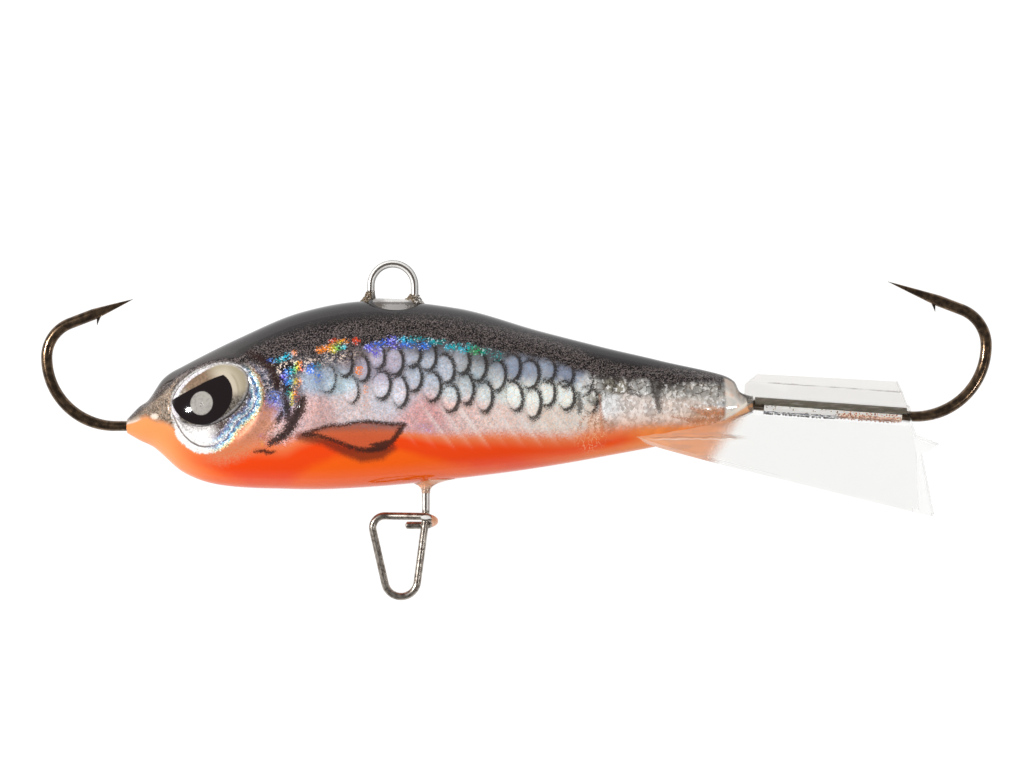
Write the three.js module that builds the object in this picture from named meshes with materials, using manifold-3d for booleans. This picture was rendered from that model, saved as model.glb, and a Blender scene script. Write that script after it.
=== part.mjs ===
// Ice fishing jig: a cast minnow with a hook at each end, lying on its right flank.
// Millimetres. The nose points to -X, the back to +Y and the left flank to +Z.
// Pieces are measured from the nose tip, on the fish's middle plane.
import * as THREE from "three";
import { mergeVertices } from "three/addons/utils/BufferGeometryUtils.js";
import Module from "manifold-3d";

const wasm = await Module();
wasm.setup();

// Body: distance behind the nose tip, then the height of the back and of the belly, and half the thickness.
const BODY_LENGTH = 49.9;
const BACK = [
  [0, 0.52], [0.9, 1.45], [1.7, 2.05], [2.9, 3.75], [4.4, 4.7], [9, 7], [13.8, 9], [19.3, 9.93],
  [26.6, 9.3], [33, 7.5], [42.6, 5.1], [47.4, 4], [48.5, 3.42], [48.9, 2.65], [BODY_LENGTH, 2.22],
];
const BELLY = [
  [0, -0.68], [1, -1.25], [2.2, -1.85], [4.5, -3.8], [7.4, -4.8], [13, -5.12], [17, -5.1],
  [23.4, -4.6], [33, -3.4], [42.6, -1.6], [47.4, -0.3], [49, 0.55], [BODY_LENGTH, 0.98],
];
const HALF_THICKNESS = [
  [0, 0.6], [1, 1.15], [3, 2.05], [6, 2.9], [10, 3.6], [15, 4], [21, 4.1],
  [27, 3.85], [35, 2.95], [42, 2.15], [47, 1.4], [BODY_LENGTH, 0.63],
];
const SECTION_POWER = 2.2;
const FLAT_SPOT_DEPTH = 3.95;
// Ranges of the body's length, each with its number of stations.
const STATION_RANGES = [[0, 15, 30], [15, 46, 20], [46, BODY_LENGTH, 9]];
const STATION_SIDES = 36;

// Eye: a domed oval in a socket, with a raised ring of the casting round it.
const EYE = { x: 6.95, y: 2.42, long: 3.2, short: 2.3, tilt: 25, seat: 0.5, crown: 0.34 };
const EYE_RING = { x: 7.45, y: 1.83, long: 3.85, short: 3.6, width: 0.45, height: 0.22 };
// Gill cover: an arc whose rear edge stands over a groove.
const GILL = { x: 9.9, y: 2.3, radius: 4.1, depth: 0.25, fade: 1.6, top: 5.2, bottom: -1.6 };

// Wire: half the diameter of the hooks' shank and bend, and of the line eye and the snap.
const SHANK_HALF = 0.4;
const BEND_HALF = 0.45;
const BEND_HALF_ACROSS = 0.37;
const WIRE_HALF = 0.3;
const WIRE_SIDES = 12;
const GAP = 0.06;

const NOSE_HOOK = {
  exit: [0, -0.08], heading: 180, turn: -1, embedded: 4, shank: 1,
  bend: 5.5, bendAngle: 90, throat: 2.9, throatAngle: 69, point: 5.4,
  needle: 3.4, barb: 3.45,
};
const TAIL_HOOK = {
  exit: [49.92, 1.6], heading: -4.1, turn: 1, embedded: 4, shank: 12.66,
  bend: 5.7, bendAngle: 94.1, throat: 3.05, throatAngle: 69.2, point: 6.3,
  needle: 4.3, barb: 4.4,
};
// The barb's root begins and ends this far ahead of its free end, which stands this far from the point's axis.
const BARB = { front: 0.88, rear: 0.35, root: 0.15, lift: 0.95, half: 0.15 };
const TIP_HALF = 0.03;
const TIP_LENGTH = 0.55;

const LINE_EYE = { x: 21.18, y: 11.14, radius: 1.75, root: 7.7 };
const SNAP = {
  stem: [23.83, -2.6], elbow: -7.1, lean: 7.5, leg: 5, bottomRadius: 1.31,
  farLean: 12.8, farLeg: 4.38, corner: 0.95, barLean: 13, bar: 2.5, curl: 0.66, pitch: 0.8, stub: 1.7,
};

// Lacquer drawn up round each wire: a flared collar from inside the body out to its tip.
const COLLARS = [
  { x: LINE_EYE.x - LINE_EYE.radius, from: 9.2, to: 10.85, flare: 1.3 },
  { x: LINE_EYE.x + LINE_EYE.radius, from: 9.1, to: 10.5, flare: 1.1 },
  { x: SNAP.stem[0], from: -4.2, to: -5.35, flare: 1.35 },
];
const COLLAR_LIP = 0.13;

// Fin: side-view points, measured along the tail hook's shank from the tail and square to it.
const KEEL = [[-0.68, 0], [-0.68, 1.64], [0.22, 2.5], [11.36, 2.7], [11.81, 1.97], [12.57, 0.34], [12.6, 0]];
const KEEL_RIM = [[-0.3, 1.85], [0.22, 2.5], [11.36, 2.7], [11.78, 1.95]];
const WING = [[-10.9, -0.1], [-10.9, -2.87], [-7.1, -3.8], [-2.3, -4.74], [14.26, -7.56], [13.44, -2.81], [12.6, -0.1]];
const GATE_TAB = [[12.6, -1.4], [14.9, -2.15], [13.3, -3]];
const FIN = { keel: 0.8, rim: 1.25, wing: 0.7, splay: 25, sleeve: 0.85, sleeveLength: 12.55 };

const degrees = THREE.MathUtils.degToRad;

// A smooth height over distance through the given points.
function profile(points) {
  const last = points.length - 1;
  const slopes = points.map((point, i) => {
    const before = points[Math.max(i - 1, 0)];
    const after = points[Math.min(i + 1, last)];
    return (after[1] - before[1]) / (after[0] - before[0]);
  });
  return (x) => {
    const found = points.findIndex((point) => point[0] >= x);
    const i = found < 0 ? last : Math.max(found, 1);
    const width = points[i][0] - points[i - 1][0];
    const t = THREE.MathUtils.clamp((x - points[i - 1][0]) / width, 0, 1);
    const rise = t * t * (3 - 2 * t);
    const leave = t * (1 - t) * (1 - t) * width * slopes[i - 1];
    const arrive = t * t * (t - 1) * width * slopes[i];
    return points[i - 1][1] * (1 - rise) + points[i][1] * rise + leave + arrive;
  };
}

const backAt = profile(BACK);
const bellyAt = profile(BELLY);
const halfThicknessAt = profile(HALF_THICKNESS);

// A closed geometry merged at its shared corners, as a solid to join and cut.
function solid(geometry) {
  const bare = geometry.index ? geometry.toNonIndexed() : geometry.clone();
  bare.deleteAttribute("normal");
  bare.deleteAttribute("uv");
  const merged = mergeVertices(bare, 1e-4);
  return new wasm.Manifold(
    new wasm.Mesh({
      numProp: 3,
      vertProperties: merged.attributes.position.array,
      triVerts: new Uint32Array(merged.index.array),
    }),
  );
}

function namedMesh(name, body, finish) {
  const made = body.getMesh();
  const geometry = new THREE.BufferGeometry();
  geometry.setAttribute("position", new THREE.BufferAttribute(made.vertProperties, 3));
  geometry.setIndex(new THREE.BufferAttribute(made.triVerts, 1));
  geometry.computeVertexNormals();
  const mesh = new THREE.Mesh(geometry, new THREE.MeshStandardMaterial(finish));
  mesh.name = name;
  return mesh;
}

// Rings of equal length joined into a skin, with each end closed by a fan.
function loft(rings) {
  const sides = rings[0].length;
  const points = rings.flat();
  const faces = [];
  for (let i = 0; i < rings.length - 1; i++) {
    for (let j = 0; j < sides; j++) {
      const here = i * sides + j;
      const next = i * sides + ((j + 1) % sides);
      faces.push(here, here + sides, next, next, here + sides, next + sides);
    }
  }
  for (const ring of [rings[0], rings.at(-1)]) {
    const middle = ring.reduce((sum, point) => sum.add(point), new THREE.Vector3()).divideScalar(sides);
    const first = ring === rings[0] ? 0 : (rings.length - 1) * sides;
    points.push(middle);
    for (let j = 0; j < sides; j++) {
      const pair = [first + j, first + ((j + 1) % sides)];
      if (ring !== rings[0]) pair.reverse();
      faces.push(pair[0], pair[1], points.length - 1);
    }
  }
  return new THREE.BufferGeometry().setFromPoints(points).setIndex(faces);
}

// How far a point stands from an oval's edge, in millimetres.
function fromOval(x, y, oval, tilt) {
  const dx = x - oval.x;
  const dy = y - oval.y;
  const along = dx * Math.cos(tilt) + dy * Math.sin(tilt);
  const across = dy * Math.cos(tilt) - dx * Math.sin(tilt);
  const size = Math.hypot(along / oval.long, across / oval.short);
  return (size - 1) * (oval.long + oval.short) / 2;
}

// Carving on the flanks: the ring round the eye and the groove behind the gill cover.
function relief(x, y) {
  const ring = fromOval(x, y, EYE_RING, degrees(EYE.tilt)) / EYE_RING.width;
  const behind = Math.hypot(x - GILL.x, y - GILL.y) - GILL.radius;
  const reach = THREE.MathUtils.smoothstep(y, GILL.bottom - 1, GILL.bottom + 1)
    * (1 - THREE.MathUtils.smoothstep(y, GILL.top - 1, GILL.top + 1));
  const open = x > GILL.x && behind > 0 ? THREE.MathUtils.smoothstep(behind, 0, 0.35) : 0;
  const groove = open * Math.max(1 - behind / GILL.fade, 0) * reach;
  return EYE_RING.height * Math.exp(-ring * ring) - GILL.depth * groove;
}

// A point of the skin, at an angle from the left flank up to the back, on a body grown by a margin.
function skinPoint(x, angle, grow) {
  const middle = (backAt(x) + bellyAt(x)) / 2;
  const high = (backAt(x) - bellyAt(x)) / 2 + grow;
  const wide = halfThicknessAt(x) + grow;
  const rise = Math.sign(Math.sin(angle)) * Math.abs(Math.sin(angle)) ** (2 / SECTION_POWER);
  const side = Math.sign(Math.cos(angle)) * Math.abs(Math.cos(angle)) ** (2 / SECTION_POWER);
  const y = middle + high * rise;
  const z = wide * side + relief(x, y) * Math.cos(angle);
  return new THREE.Vector3(x * (1 + 2 * grow / BODY_LENGTH) - grow, y, z);
}

function bodySolid(grow) {
  const stations = STATION_RANGES.flatMap(([from, to, count]) =>
    Array.from({ length: count }, (_, i) => from + ((to - from) * i) / count));
  stations.push(BODY_LENGTH);
  const rings = stations.map((x) =>
    Array.from({ length: STATION_SIDES }, (_, j) => skinPoint(x, (2 * Math.PI * j) / STATION_SIDES, grow)));
  return solid(loft(rings));
}

// How far the flank stands from the middle plane.
function flankAt(x, y) {
  const middle = (backAt(x) + bellyAt(x)) / 2;
  const high = (backAt(x) - bellyAt(x)) / 2;
  const share = 1 - Math.abs((y - middle) / high) ** SECTION_POWER;
  return halfThicknessAt(x) * share ** (1 / SECTION_POWER);
}

// The eye's frame on a flank: its long axis, its outward normal and its centre.
function eyePlace(side) {
  const step = 1.5;
  const slopeX = (flankAt(EYE.x + step, EYE.y) - flankAt(EYE.x - step, EYE.y)) / (2 * step);
  const slopeY = (flankAt(EYE.x, EYE.y + step) - flankAt(EYE.x, EYE.y - step)) / (2 * step);
  const normal = new THREE.Vector3(-slopeX, -slopeY, side).normalize();
  const long = new THREE.Vector3(Math.cos(degrees(EYE.tilt)), Math.sin(degrees(EYE.tilt)), 0);
  long.addScaledVector(normal, -long.dot(normal)).normalize();
  const frame = new THREE.Matrix4().makeBasis(long, normal, long.clone().cross(normal));
  return frame.setPosition(EYE.x, EYE.y, side * flankAt(EYE.x, EYE.y));
}

// A domed oval button: a flat seat, a short wall and a crown.
function eyeSolid(side, grow) {
  const outline = [new THREE.Vector2(0, -EYE.seat - grow), new THREE.Vector2(1, -EYE.seat - grow)];
  const domeSteps = 5;
  for (let i = 0; i <= domeSteps; i++) {
    const angle = (Math.PI / 2) * (i / domeSteps);
    outline.push(new THREE.Vector2(Math.cos(angle), (EYE.crown + grow) * Math.sin(angle)));
  }
  outline.at(-1).x = 0;
  const button = new THREE.LatheGeometry(outline, 24);
  button.scale(EYE.long + grow, 1, EYE.short + grow);
  return solid(button.applyMatrix4(eyePlace(side)));
}

// A wire bent as on a former: it runs straight, or turns about an axis at a radius.
class WireForm {
  constructor(start, heading) {
    this.points = [start.clone()];
    this.at = start.clone();
    this.heading = heading.clone().normalize();
  }

  straight(length) {
    this.at.addScaledVector(this.heading, length);
    this.points.push(this.at.clone());
    return this;
  }

  bend(radius, angle, axis, steps, pitch = 0) {
    const turn = degrees(angle) / steps;
    const chord = 2 * radius * Math.sin(Math.abs(turn) / 2);
    for (let i = 0; i < steps; i++) {
      this.heading.applyAxisAngle(axis, turn / 2);
      this.at.addScaledVector(this.heading, chord).addScaledVector(axis, pitch / steps);
      this.heading.applyAxisAngle(axis, turn / 2);
      this.points.push(this.at.clone());
    }
    return this;
  }
}

// A bar swept along points. halfSizes gives half its width in the bends' plane and across it, at a distance
// from the far end.
function sweep(points, halfSizes) {
  const last = points.length - 1;
  const toEnd = points.map(() => 0);
  for (let i = last - 1; i >= 0; i--) toEnd[i] = toEnd[i + 1] + points[i].distanceTo(points[i + 1]);
  const across = new THREE.Vector3(0, 0, 1);
  const rings = points.map((point, i) => {
    const arriving = point.clone().sub(points[Math.max(i - 1, 0)]).normalize();
    const leaving = points[Math.min(i + 1, last)].clone().sub(point).normalize();
    const along = arriving.add(leaving).normalize();
    across.addScaledVector(along, -across.dot(along)).normalize();
    const inPlane = along.clone().cross(across);
    const [half, halfAcross] = halfSizes(toEnd[i]);
    return Array.from({ length: WIRE_SIDES }, (_, j) => {
      const angle = (2 * Math.PI * (j + 0.5)) / WIRE_SIDES;
      return point.clone()
        .addScaledVector(inPlane, half * Math.cos(angle))
        .addScaledVector(across, halfAcross * Math.sin(angle));
    });
  });
  return solid(loft(rings));
}

function hookForm(hook) {
  const heading = new THREE.Vector3(Math.cos(degrees(hook.heading)), Math.sin(degrees(hook.heading)), 0);
  const axis = new THREE.Vector3(0, 0, hook.turn);
  const root = new THREE.Vector3(...hook.exit, 0).addScaledVector(heading, -hook.embedded);
  const form = new WireForm(root, heading)
    .straight(hook.embedded + hook.shank)
    .bend(hook.bend, hook.bendAngle, axis, 9)
    .bend(hook.throat, hook.throatAngle, axis, 6);
  const needleSteps = 3;
  form.straight(hook.point - hook.needle);
  for (let i = 0; i < needleSteps; i++) form.straight((hook.needle - TIP_LENGTH) / needleSteps);
  return form.straight(TIP_LENGTH);
}

function hookHalves(hook) {
  const pointAndBends = hook.point + degrees(hook.bendAngle) * hook.bend + degrees(hook.throatAngle) * hook.throat;
  return (toEnd) => {
    const taper = Math.min(toEnd / hook.needle, 1) ** 0.9;
    const forged = THREE.MathUtils.smoothstep(pointAndBends - toEnd, -1, 3);
    const half = THREE.MathUtils.lerp(SHANK_HALF, BEND_HALF, forged);
    const halfAcross = THREE.MathUtils.lerp(SHANK_HALF, BEND_HALF_ACROSS, forged);
    return [Math.max(half * taper, TIP_HALF), Math.max(halfAcross * taper, TIP_HALF)];
  };
}

// The barb: a sliver raised from the point's inner side, its free end away from the tip.
function barbSolid(hook, form) {
  const outline = new THREE.Shape([
    new THREE.Vector2(-hook.barb + BARB.front, BARB.root),
    new THREE.Vector2(-hook.barb, BARB.lift),
    new THREE.Vector2(-hook.barb + BARB.rear, BARB.root),
  ]);
  const blade = new THREE.ExtrudeGeometry(outline, { depth: 2 * BARB.half, bevelEnabled: false });
  blade.translate(0, 0, -BARB.half);
  const inward = new THREE.Vector3(0, 0, 1).cross(form.heading).multiplyScalar(hook.turn);
  const frame = new THREE.Matrix4().makeBasis(form.heading, inward, new THREE.Vector3(0, 0, hook.turn));
  return solid(blade.applyMatrix4(frame.setPosition(form.at)));
}

function hookSolid(hook) {
  const form = hookForm(hook);
  return sweep(form.points, hookHalves(hook)).add(barbSolid(hook, form));
}

function hookBore(hook) {
  const form = hookForm(hook);
  const reach = form.points[1];
  return sweep([form.points[0], reach], () => [SHANK_HALF + GAP, SHANK_HALF + GAP]);
}

const round = (half) => () => [half, half];

function lineEyeForm() {
  const rise = LINE_EYE.y - LINE_EYE.root;
  const start = new THREE.Vector3(LINE_EYE.x - LINE_EYE.radius, LINE_EYE.root, 0);
  return new WireForm(start, new THREE.Vector3(0, 1, 0))
    .straight(rise)
    .bend(LINE_EYE.radius, -180, new THREE.Vector3(0, 0, 1), 13)
    .straight(rise);
}

// Stem, leg, bottom bend, far leg, corner, bar across in front of the stem, curl round it, and stub behind it.
function snapForm() {
  const out = new THREE.Vector3(0, 0, 1);
  const up = new THREE.Vector3(0, 1, 0);
  const start = new THREE.Vector3(...SNAP.stem, 0);
  return new WireForm(start, new THREE.Vector3(0, -1, 0))
    .straight(SNAP.stem[1] - SNAP.elbow)
    .bend(4, -SNAP.lean, out, 2)
    .straight(SNAP.leg)
    .bend(SNAP.bottomRadius, SNAP.lean + SNAP.farLean - 180, out, 9)
    .straight(SNAP.farLeg)
    .bend(SNAP.corner, -90 - SNAP.farLean, out, 7)
    .bend(2, -SNAP.barLean, up, 2)
    .straight(SNAP.bar)
    .bend(2, SNAP.barLean, up, 2)
    .bend(SNAP.curl, 180, up, 8, -SNAP.pitch)
    .straight(SNAP.stub);
}

// A flat plate from an outline, centred on its own plane.
function plate(outline, thickness) {
  const shape = new THREE.Shape(outline.map(([x, y]) => new THREE.Vector2(x, y)));
  const geometry = new THREE.ExtrudeGeometry(shape, { depth: thickness, bevelEnabled: false });
  return geometry.translate(0, 0, -thickness / 2);
}

// A plate hung from the shank's line and swung out to one side by the splay angle.
function splayed(outline, side) {
  const splay = degrees(FIN.splay);
  const along = new THREE.Vector3(1, 0, 0);
  const outward = new THREE.Vector3(0, -Math.cos(splay), side * Math.sin(splay));
  const hung = outline.map(([x, y]) => [x, -y / Math.cos(splay)]);
  const frame = new THREE.Matrix4().makeBasis(along, outward, along.clone().cross(outward));
  return plate(hung, FIN.wing).applyMatrix4(frame);
}

function collarSolid(collar) {
  const rise = collar.to - collar.from;
  const lip = WIRE_HALF + COLLAR_LIP;
  const steps = 4;
  const outline = [new THREE.Vector2(0, 0)];
  for (let i = 0; i <= steps; i++) {
    const t = i / steps;
    outline.push(new THREE.Vector2(lip + (collar.flare - lip) * (1 - t) ** 2, Math.abs(rise) * t));
  }
  outline.push(new THREE.Vector2(0, Math.abs(rise)));
  const flared = new THREE.LatheGeometry(outline, 14);
  if (rise < 0) flared.rotateX(Math.PI);
  return solid(flared.translate(collar.x, collar.from, 0));
}

function finSolid() {
  const sleeve = new THREE.CylinderGeometry(FIN.sleeve, FIN.sleeve, FIN.sleeveLength + 1, 16);
  sleeve.rotateZ(Math.PI / 2).translate((FIN.sleeveLength - 1) / 2, 0, 0);
  const place = new THREE.Matrix4().makeRotationZ(degrees(TAIL_HOOK.heading)).setPosition(...TAIL_HOOK.exit, 0);
  const pieces = [plate(KEEL, FIN.keel), plate(KEEL_RIM, FIN.rim), sleeve, splayed(GATE_TAB, 1)];
  for (const side of [1, -1]) pieces.push(splayed(WING, side));
  return pieces.map((piece) => solid(piece.applyMatrix4(place))).reduce((sum, piece) => sum.add(piece));
}

const snapPoints = snapForm().points;
const lineEyePoints = lineEyeForm().points;
const noseBore = hookBore(NOSE_HOOK);
const tailBore = hookBore(TAIL_HOOK);

function minnowBody() {
  const below = new THREE.BoxGeometry(2 * BODY_LENGTH, 40, 10);
  below.translate(BODY_LENGTH / 2, 0, -FLAT_SPOT_DEPTH - 5);
  const cuts = [
    solid(below),
    noseBore,
    tailBore,
    sweep(lineEyePoints, round(WIRE_HALF + GAP)),
    sweep(snapPoints.slice(0, 2), round(WIRE_HALF + GAP)),
    eyeSolid(1, GAP),
    eyeSolid(-1, GAP),
  ];
  const cast = COLLARS.map(collarSolid).reduce((body, collar) => body.add(collar), bodySolid(0));
  return cuts.reduce((body, cut) => body.subtract(cut), cast);
}

const LACQUERED = { color: 0xa8a2a6, roughness: 0.25, metalness: 0.5 };
const PRINTED_EYE = { color: 0x1c1a1c, roughness: 0.1, metalness: 0 };
const BRONZED_STEEL = { color: 0x3a3026, roughness: 0.25, metalness: 1 };
const STAINLESS = { color: 0x8c857e, roughness: 0.25, metalness: 1 };
const CLEAR_PLASTIC = { color: 0xe6e4e0, roughness: 0.08, metalness: 0, transparent: true, opacity: 0.4 };

const minnow = new THREE.Group();
minnow.add(
  namedMesh("minnow_body", minnowBody(), LACQUERED),
  namedMesh("left_eye", eyeSolid(1, 0), PRINTED_EYE),
  namedMesh("right_eye", eyeSolid(-1, 0), PRINTED_EYE),
  namedMesh("nose_hook", hookSolid(NOSE_HOOK), BRONZED_STEEL),
  namedMesh("tail_hook", hookSolid(TAIL_HOOK), BRONZED_STEEL),
  namedMesh("line_eye", sweep(lineEyePoints, round(WIRE_HALF)), STAINLESS),
  namedMesh("belly_snap", sweep(snapPoints, round(WIRE_HALF)), STAINLESS),
  namedMesh("tail_fin", finSolid().subtract(bodySolid(GAP)).subtract(tailBore), CLEAR_PLASTIC),
);

// The jig's frame: the floor under the flat spot, in the middle of the jig's length and height.
const extent = new THREE.Box3().setFromObject(minnow, true);
const middle = extent.getCenter(new THREE.Vector3());
minnow.position.set(-middle.x, -middle.y, -extent.min.z);

const jig = new THREE.Group();
jig.add(minnow);

export default jig;
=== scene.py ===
"""Looks of a cast minnow jig for ice fishing, lying on its right flank.

Sizes are millimetres measured as on the casting: X runs back from the nose tip, Y up to the back and Z out
through the left flank, from the fish's middle plane. FishSpace turns them into the frame's metres.
"""

import logging
import math
from collections.abc import Callable
from dataclasses import dataclass, field
from enum import Enum

import bmesh
import bpy
import numpy as np
from mathutils import Matrix, Vector


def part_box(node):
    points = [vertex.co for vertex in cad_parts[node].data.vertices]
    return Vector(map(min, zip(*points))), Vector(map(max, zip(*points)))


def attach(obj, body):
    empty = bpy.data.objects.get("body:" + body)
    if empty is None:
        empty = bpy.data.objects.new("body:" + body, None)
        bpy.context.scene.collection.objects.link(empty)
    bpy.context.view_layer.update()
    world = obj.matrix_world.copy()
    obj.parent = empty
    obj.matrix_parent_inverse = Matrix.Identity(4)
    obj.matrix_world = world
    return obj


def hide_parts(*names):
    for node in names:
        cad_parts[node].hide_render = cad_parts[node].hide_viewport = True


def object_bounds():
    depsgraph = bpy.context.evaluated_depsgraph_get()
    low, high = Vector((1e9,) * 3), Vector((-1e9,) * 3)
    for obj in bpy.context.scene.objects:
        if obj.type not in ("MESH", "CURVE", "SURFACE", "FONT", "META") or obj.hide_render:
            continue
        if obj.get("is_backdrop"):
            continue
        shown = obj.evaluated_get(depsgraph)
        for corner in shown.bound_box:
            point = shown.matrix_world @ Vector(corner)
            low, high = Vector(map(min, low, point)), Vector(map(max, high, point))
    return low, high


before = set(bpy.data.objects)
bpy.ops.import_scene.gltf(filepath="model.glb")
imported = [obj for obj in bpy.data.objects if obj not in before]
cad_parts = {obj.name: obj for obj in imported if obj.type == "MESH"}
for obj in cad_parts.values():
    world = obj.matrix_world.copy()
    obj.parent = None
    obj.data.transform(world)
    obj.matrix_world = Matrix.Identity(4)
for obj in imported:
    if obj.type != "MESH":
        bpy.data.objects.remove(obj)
cad_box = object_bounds()

LOG = logging.getLogger("jig")
MM = 0.001
# How far the top of the line eye stands over the nose tip.
LINE_EYE_TOP = 13.165

Pair = tuple[float, float]
Triple = tuple[float, float, float]
Colour = tuple[float, float, float, float]
# Where a band lies along a shank, and its two angles round it.
Band = tuple[float, float, float, float]
Faces = list[tuple[int, ...]]
Shape = tuple[np.ndarray, Faces]


def srgb(red: float, green: float, blue: float) -> Colour:
    """Turns a colour read as 0 to 255 into linear light.

    Args:
        red: Red as seen on a screen.
        green: Green as seen on a screen.
        blue: Blue as seen on a screen.

    Returns:
        The colour in linear light, opaque.
    """
    def linear(level: float) -> float:
        """One channel in linear light."""
        share = level / 255
        return share / 12.92 if share <= 0.04045 else ((share + 0.055) / 1.055) ** 2.4

    return linear(red), linear(green), linear(blue), 1.0


@dataclass(frozen=True)
class FishSpace:
    """Where the fish's own millimetres lie in the frame."""

    origin: Vector

    @classmethod
    def from_frame(cls) -> "FishSpace":
        """Finds the nose tip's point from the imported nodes.

        Returns:
            The fish's space in the frame.
        """
        body_low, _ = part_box("minnow_body")
        eye_low, eye_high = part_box("line_eye")
        middle = (eye_low.z + eye_high.z) / 2
        return cls(Vector((body_low.x, eye_high.y - LINE_EYE_TOP * MM, middle)))

    def metres(self, points: np.ndarray) -> np.ndarray:
        """Turns fish millimetres into the frame's metres."""
        return np.asarray(points, dtype=float) * MM + np.array(self.origin)


SPACE = FishSpace.from_frame()


def smooth_curve(points: tuple[Pair, ...], x: np.ndarray) -> np.ndarray:
    """Reads a smooth curve that passes through all its points.

    Args:
        points: Pairs of distance and height, in order.
        x: Distances to read.

    Returns:
        The heights there.
    """
    xs, ys = np.array(points).T
    order = np.arange(len(xs))
    ahead = np.minimum(order + 1, len(xs) - 1)
    behind = np.maximum(order - 1, 0)
    slopes = (ys[ahead] - ys[behind]) / (xs[ahead] - xs[behind])
    i = np.clip(np.searchsorted(xs, x), 1, len(xs) - 1)
    width = xs[i] - xs[i - 1]
    t = np.clip((x - xs[i - 1]) / width, 0, 1)
    rise = t * t * (3 - 2 * t)
    leave = t * (1 - t) ** 2 * width * slopes[i - 1]
    arrive = t * t * (t - 1) * width * slopes[i]
    return ys[i - 1] * (1 - rise) + ys[i] * rise + leave + arrive


def soft_step(value: np.ndarray, low: float, high: float) -> np.ndarray:
    """Rises smoothly from 0 at low to 1 at high."""
    t = np.clip((value - low) / (high - low), 0, 1)
    return t * t * (3 - 2 * t)


def from_oval(x: np.ndarray, y: np.ndarray, centre: Pair, halves: Pair, tilt: float) -> np.ndarray:
    """How far points stand outside a tilted oval's edge.

    Args:
        x: Distances along the fish.
        y: Heights.
        centre: The oval's centre.
        halves: Half its length and half its width.
        tilt: Its tilt in degrees.

    Returns:
        Millimetres, negative inside.
    """
    turn = math.radians(tilt)
    dx, dy = x - centre[0], y - centre[1]
    along = dx * math.cos(turn) + dy * math.sin(turn)
    across = dy * math.cos(turn) - dx * math.sin(turn)
    return (np.hypot(along / halves[0], across / halves[1]) - 1) * (halves[0] + halves[1]) / 2


def inside_stroke(x: np.ndarray, y: np.ndarray, stroke: tuple[Triple, ...]) -> np.ndarray:
    """How deep points lie inside a brush stroke.

    Args:
        x: Distances along the fish.
        y: Heights.
        stroke: Points of the stroke, each with half its width there.

    Returns:
        Millimetres, negative outside.
    """
    best = np.full(np.shape(x), -9.0)
    for (ax, ay, a_half), (bx, by, b_half) in zip(stroke, stroke[1:]):
        dx, dy = bx - ax, by - ay
        t = np.clip(((x - ax) * dx + (y - ay) * dy) / (dx * dx + dy * dy), 0, 1)
        away = np.hypot(x - ax - t * dx, y - ay - t * dy)
        best = np.maximum(best, a_half + (b_half - a_half) * t - away)
    return best


def inside_outline(x: np.ndarray, y: np.ndarray, outline: tuple[Pair, ...]) -> np.ndarray:
    """How deep points lie inside a closed outline.

    Args:
        x: Distances along the fish.
        y: Heights.
        outline: Corners in order.

    Returns:
        Millimetres, negative outside.
    """
    away = np.full(np.shape(x), 9.0)
    inside = np.zeros(np.shape(x), dtype=bool)
    for (ax, ay), (bx, by) in zip(outline, outline[1:] + outline[:1]):
        dx, dy = bx - ax, by - ay
        t = np.clip(((x - ax) * dx + (y - ay) * dy) / (dx * dx + dy * dy), 0, 1)
        away = np.minimum(away, np.hypot(x - ax - t * dx, y - ay - t * dy))
        if ay != by:
            crosses = ((ay > y) != (by > y)) & (x < ax + (y - ay) * dx / dy)
            inside ^= crosses
    return np.where(inside, away, -away)


def math_method(operation: str, reflected: bool = False) -> Callable[["Value", "Value | float"], "Value"]:
    """Makes a method of Value that adds a Math node.

    Args:
        operation: What the node does.
        reflected: Whether the other value comes first.

    Returns:
        The method.
    """
    def method(self: "Value", other: "Value | float") -> "Value":
        """Adds the node and gives its result."""
        given = (other, self) if reflected else (self, other)
        return self.shader.value("ShaderNodeMath", {"operation": operation}, dict(enumerate(given)))

    return method


class Value:
    """A shader socket that can be written in sums."""

    def __init__(self, shader: "Shader", socket: bpy.types.NodeSocket) -> None:
        """Wraps an output socket of a shader's tree."""
        self.shader = shader
        self.socket = socket

    __add__ = math_method("ADD")
    __radd__ = math_method("ADD", reflected=True)
    __sub__ = math_method("SUBTRACT")
    __rsub__ = math_method("SUBTRACT", reflected=True)
    __mul__ = math_method("MULTIPLY")
    __rmul__ = math_method("MULTIPLY", reflected=True)
    __truediv__ = math_method("DIVIDE")
    __pow__ = math_method("POWER")
    most = math_method("MAXIMUM")
    least = math_method("MINIMUM")

    def magnitude(self) -> "Value":
        """Its size without its sign."""
        return self.most(0 - self)

    def soft(self, low: float, high: float) -> "Value":
        """Rises smoothly from 0 at low to 1 at high."""
        sockets = {"Value": self, "From Min": low, "From Max": high}
        return self.shader.value("ShaderNodeMapRange", {"interpolation_type": "SMOOTHSTEP"}, sockets)


Paint = Value | Colour


def in_oval(x: Value, y: Value, centre: Pair, halves: Pair) -> Value:
    """Reads how far out a place lies in an oval."""
    u, v = (x - centre[0]) / halves[0], (y - centre[1]) / halves[1]
    return u * u + v * v


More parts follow.
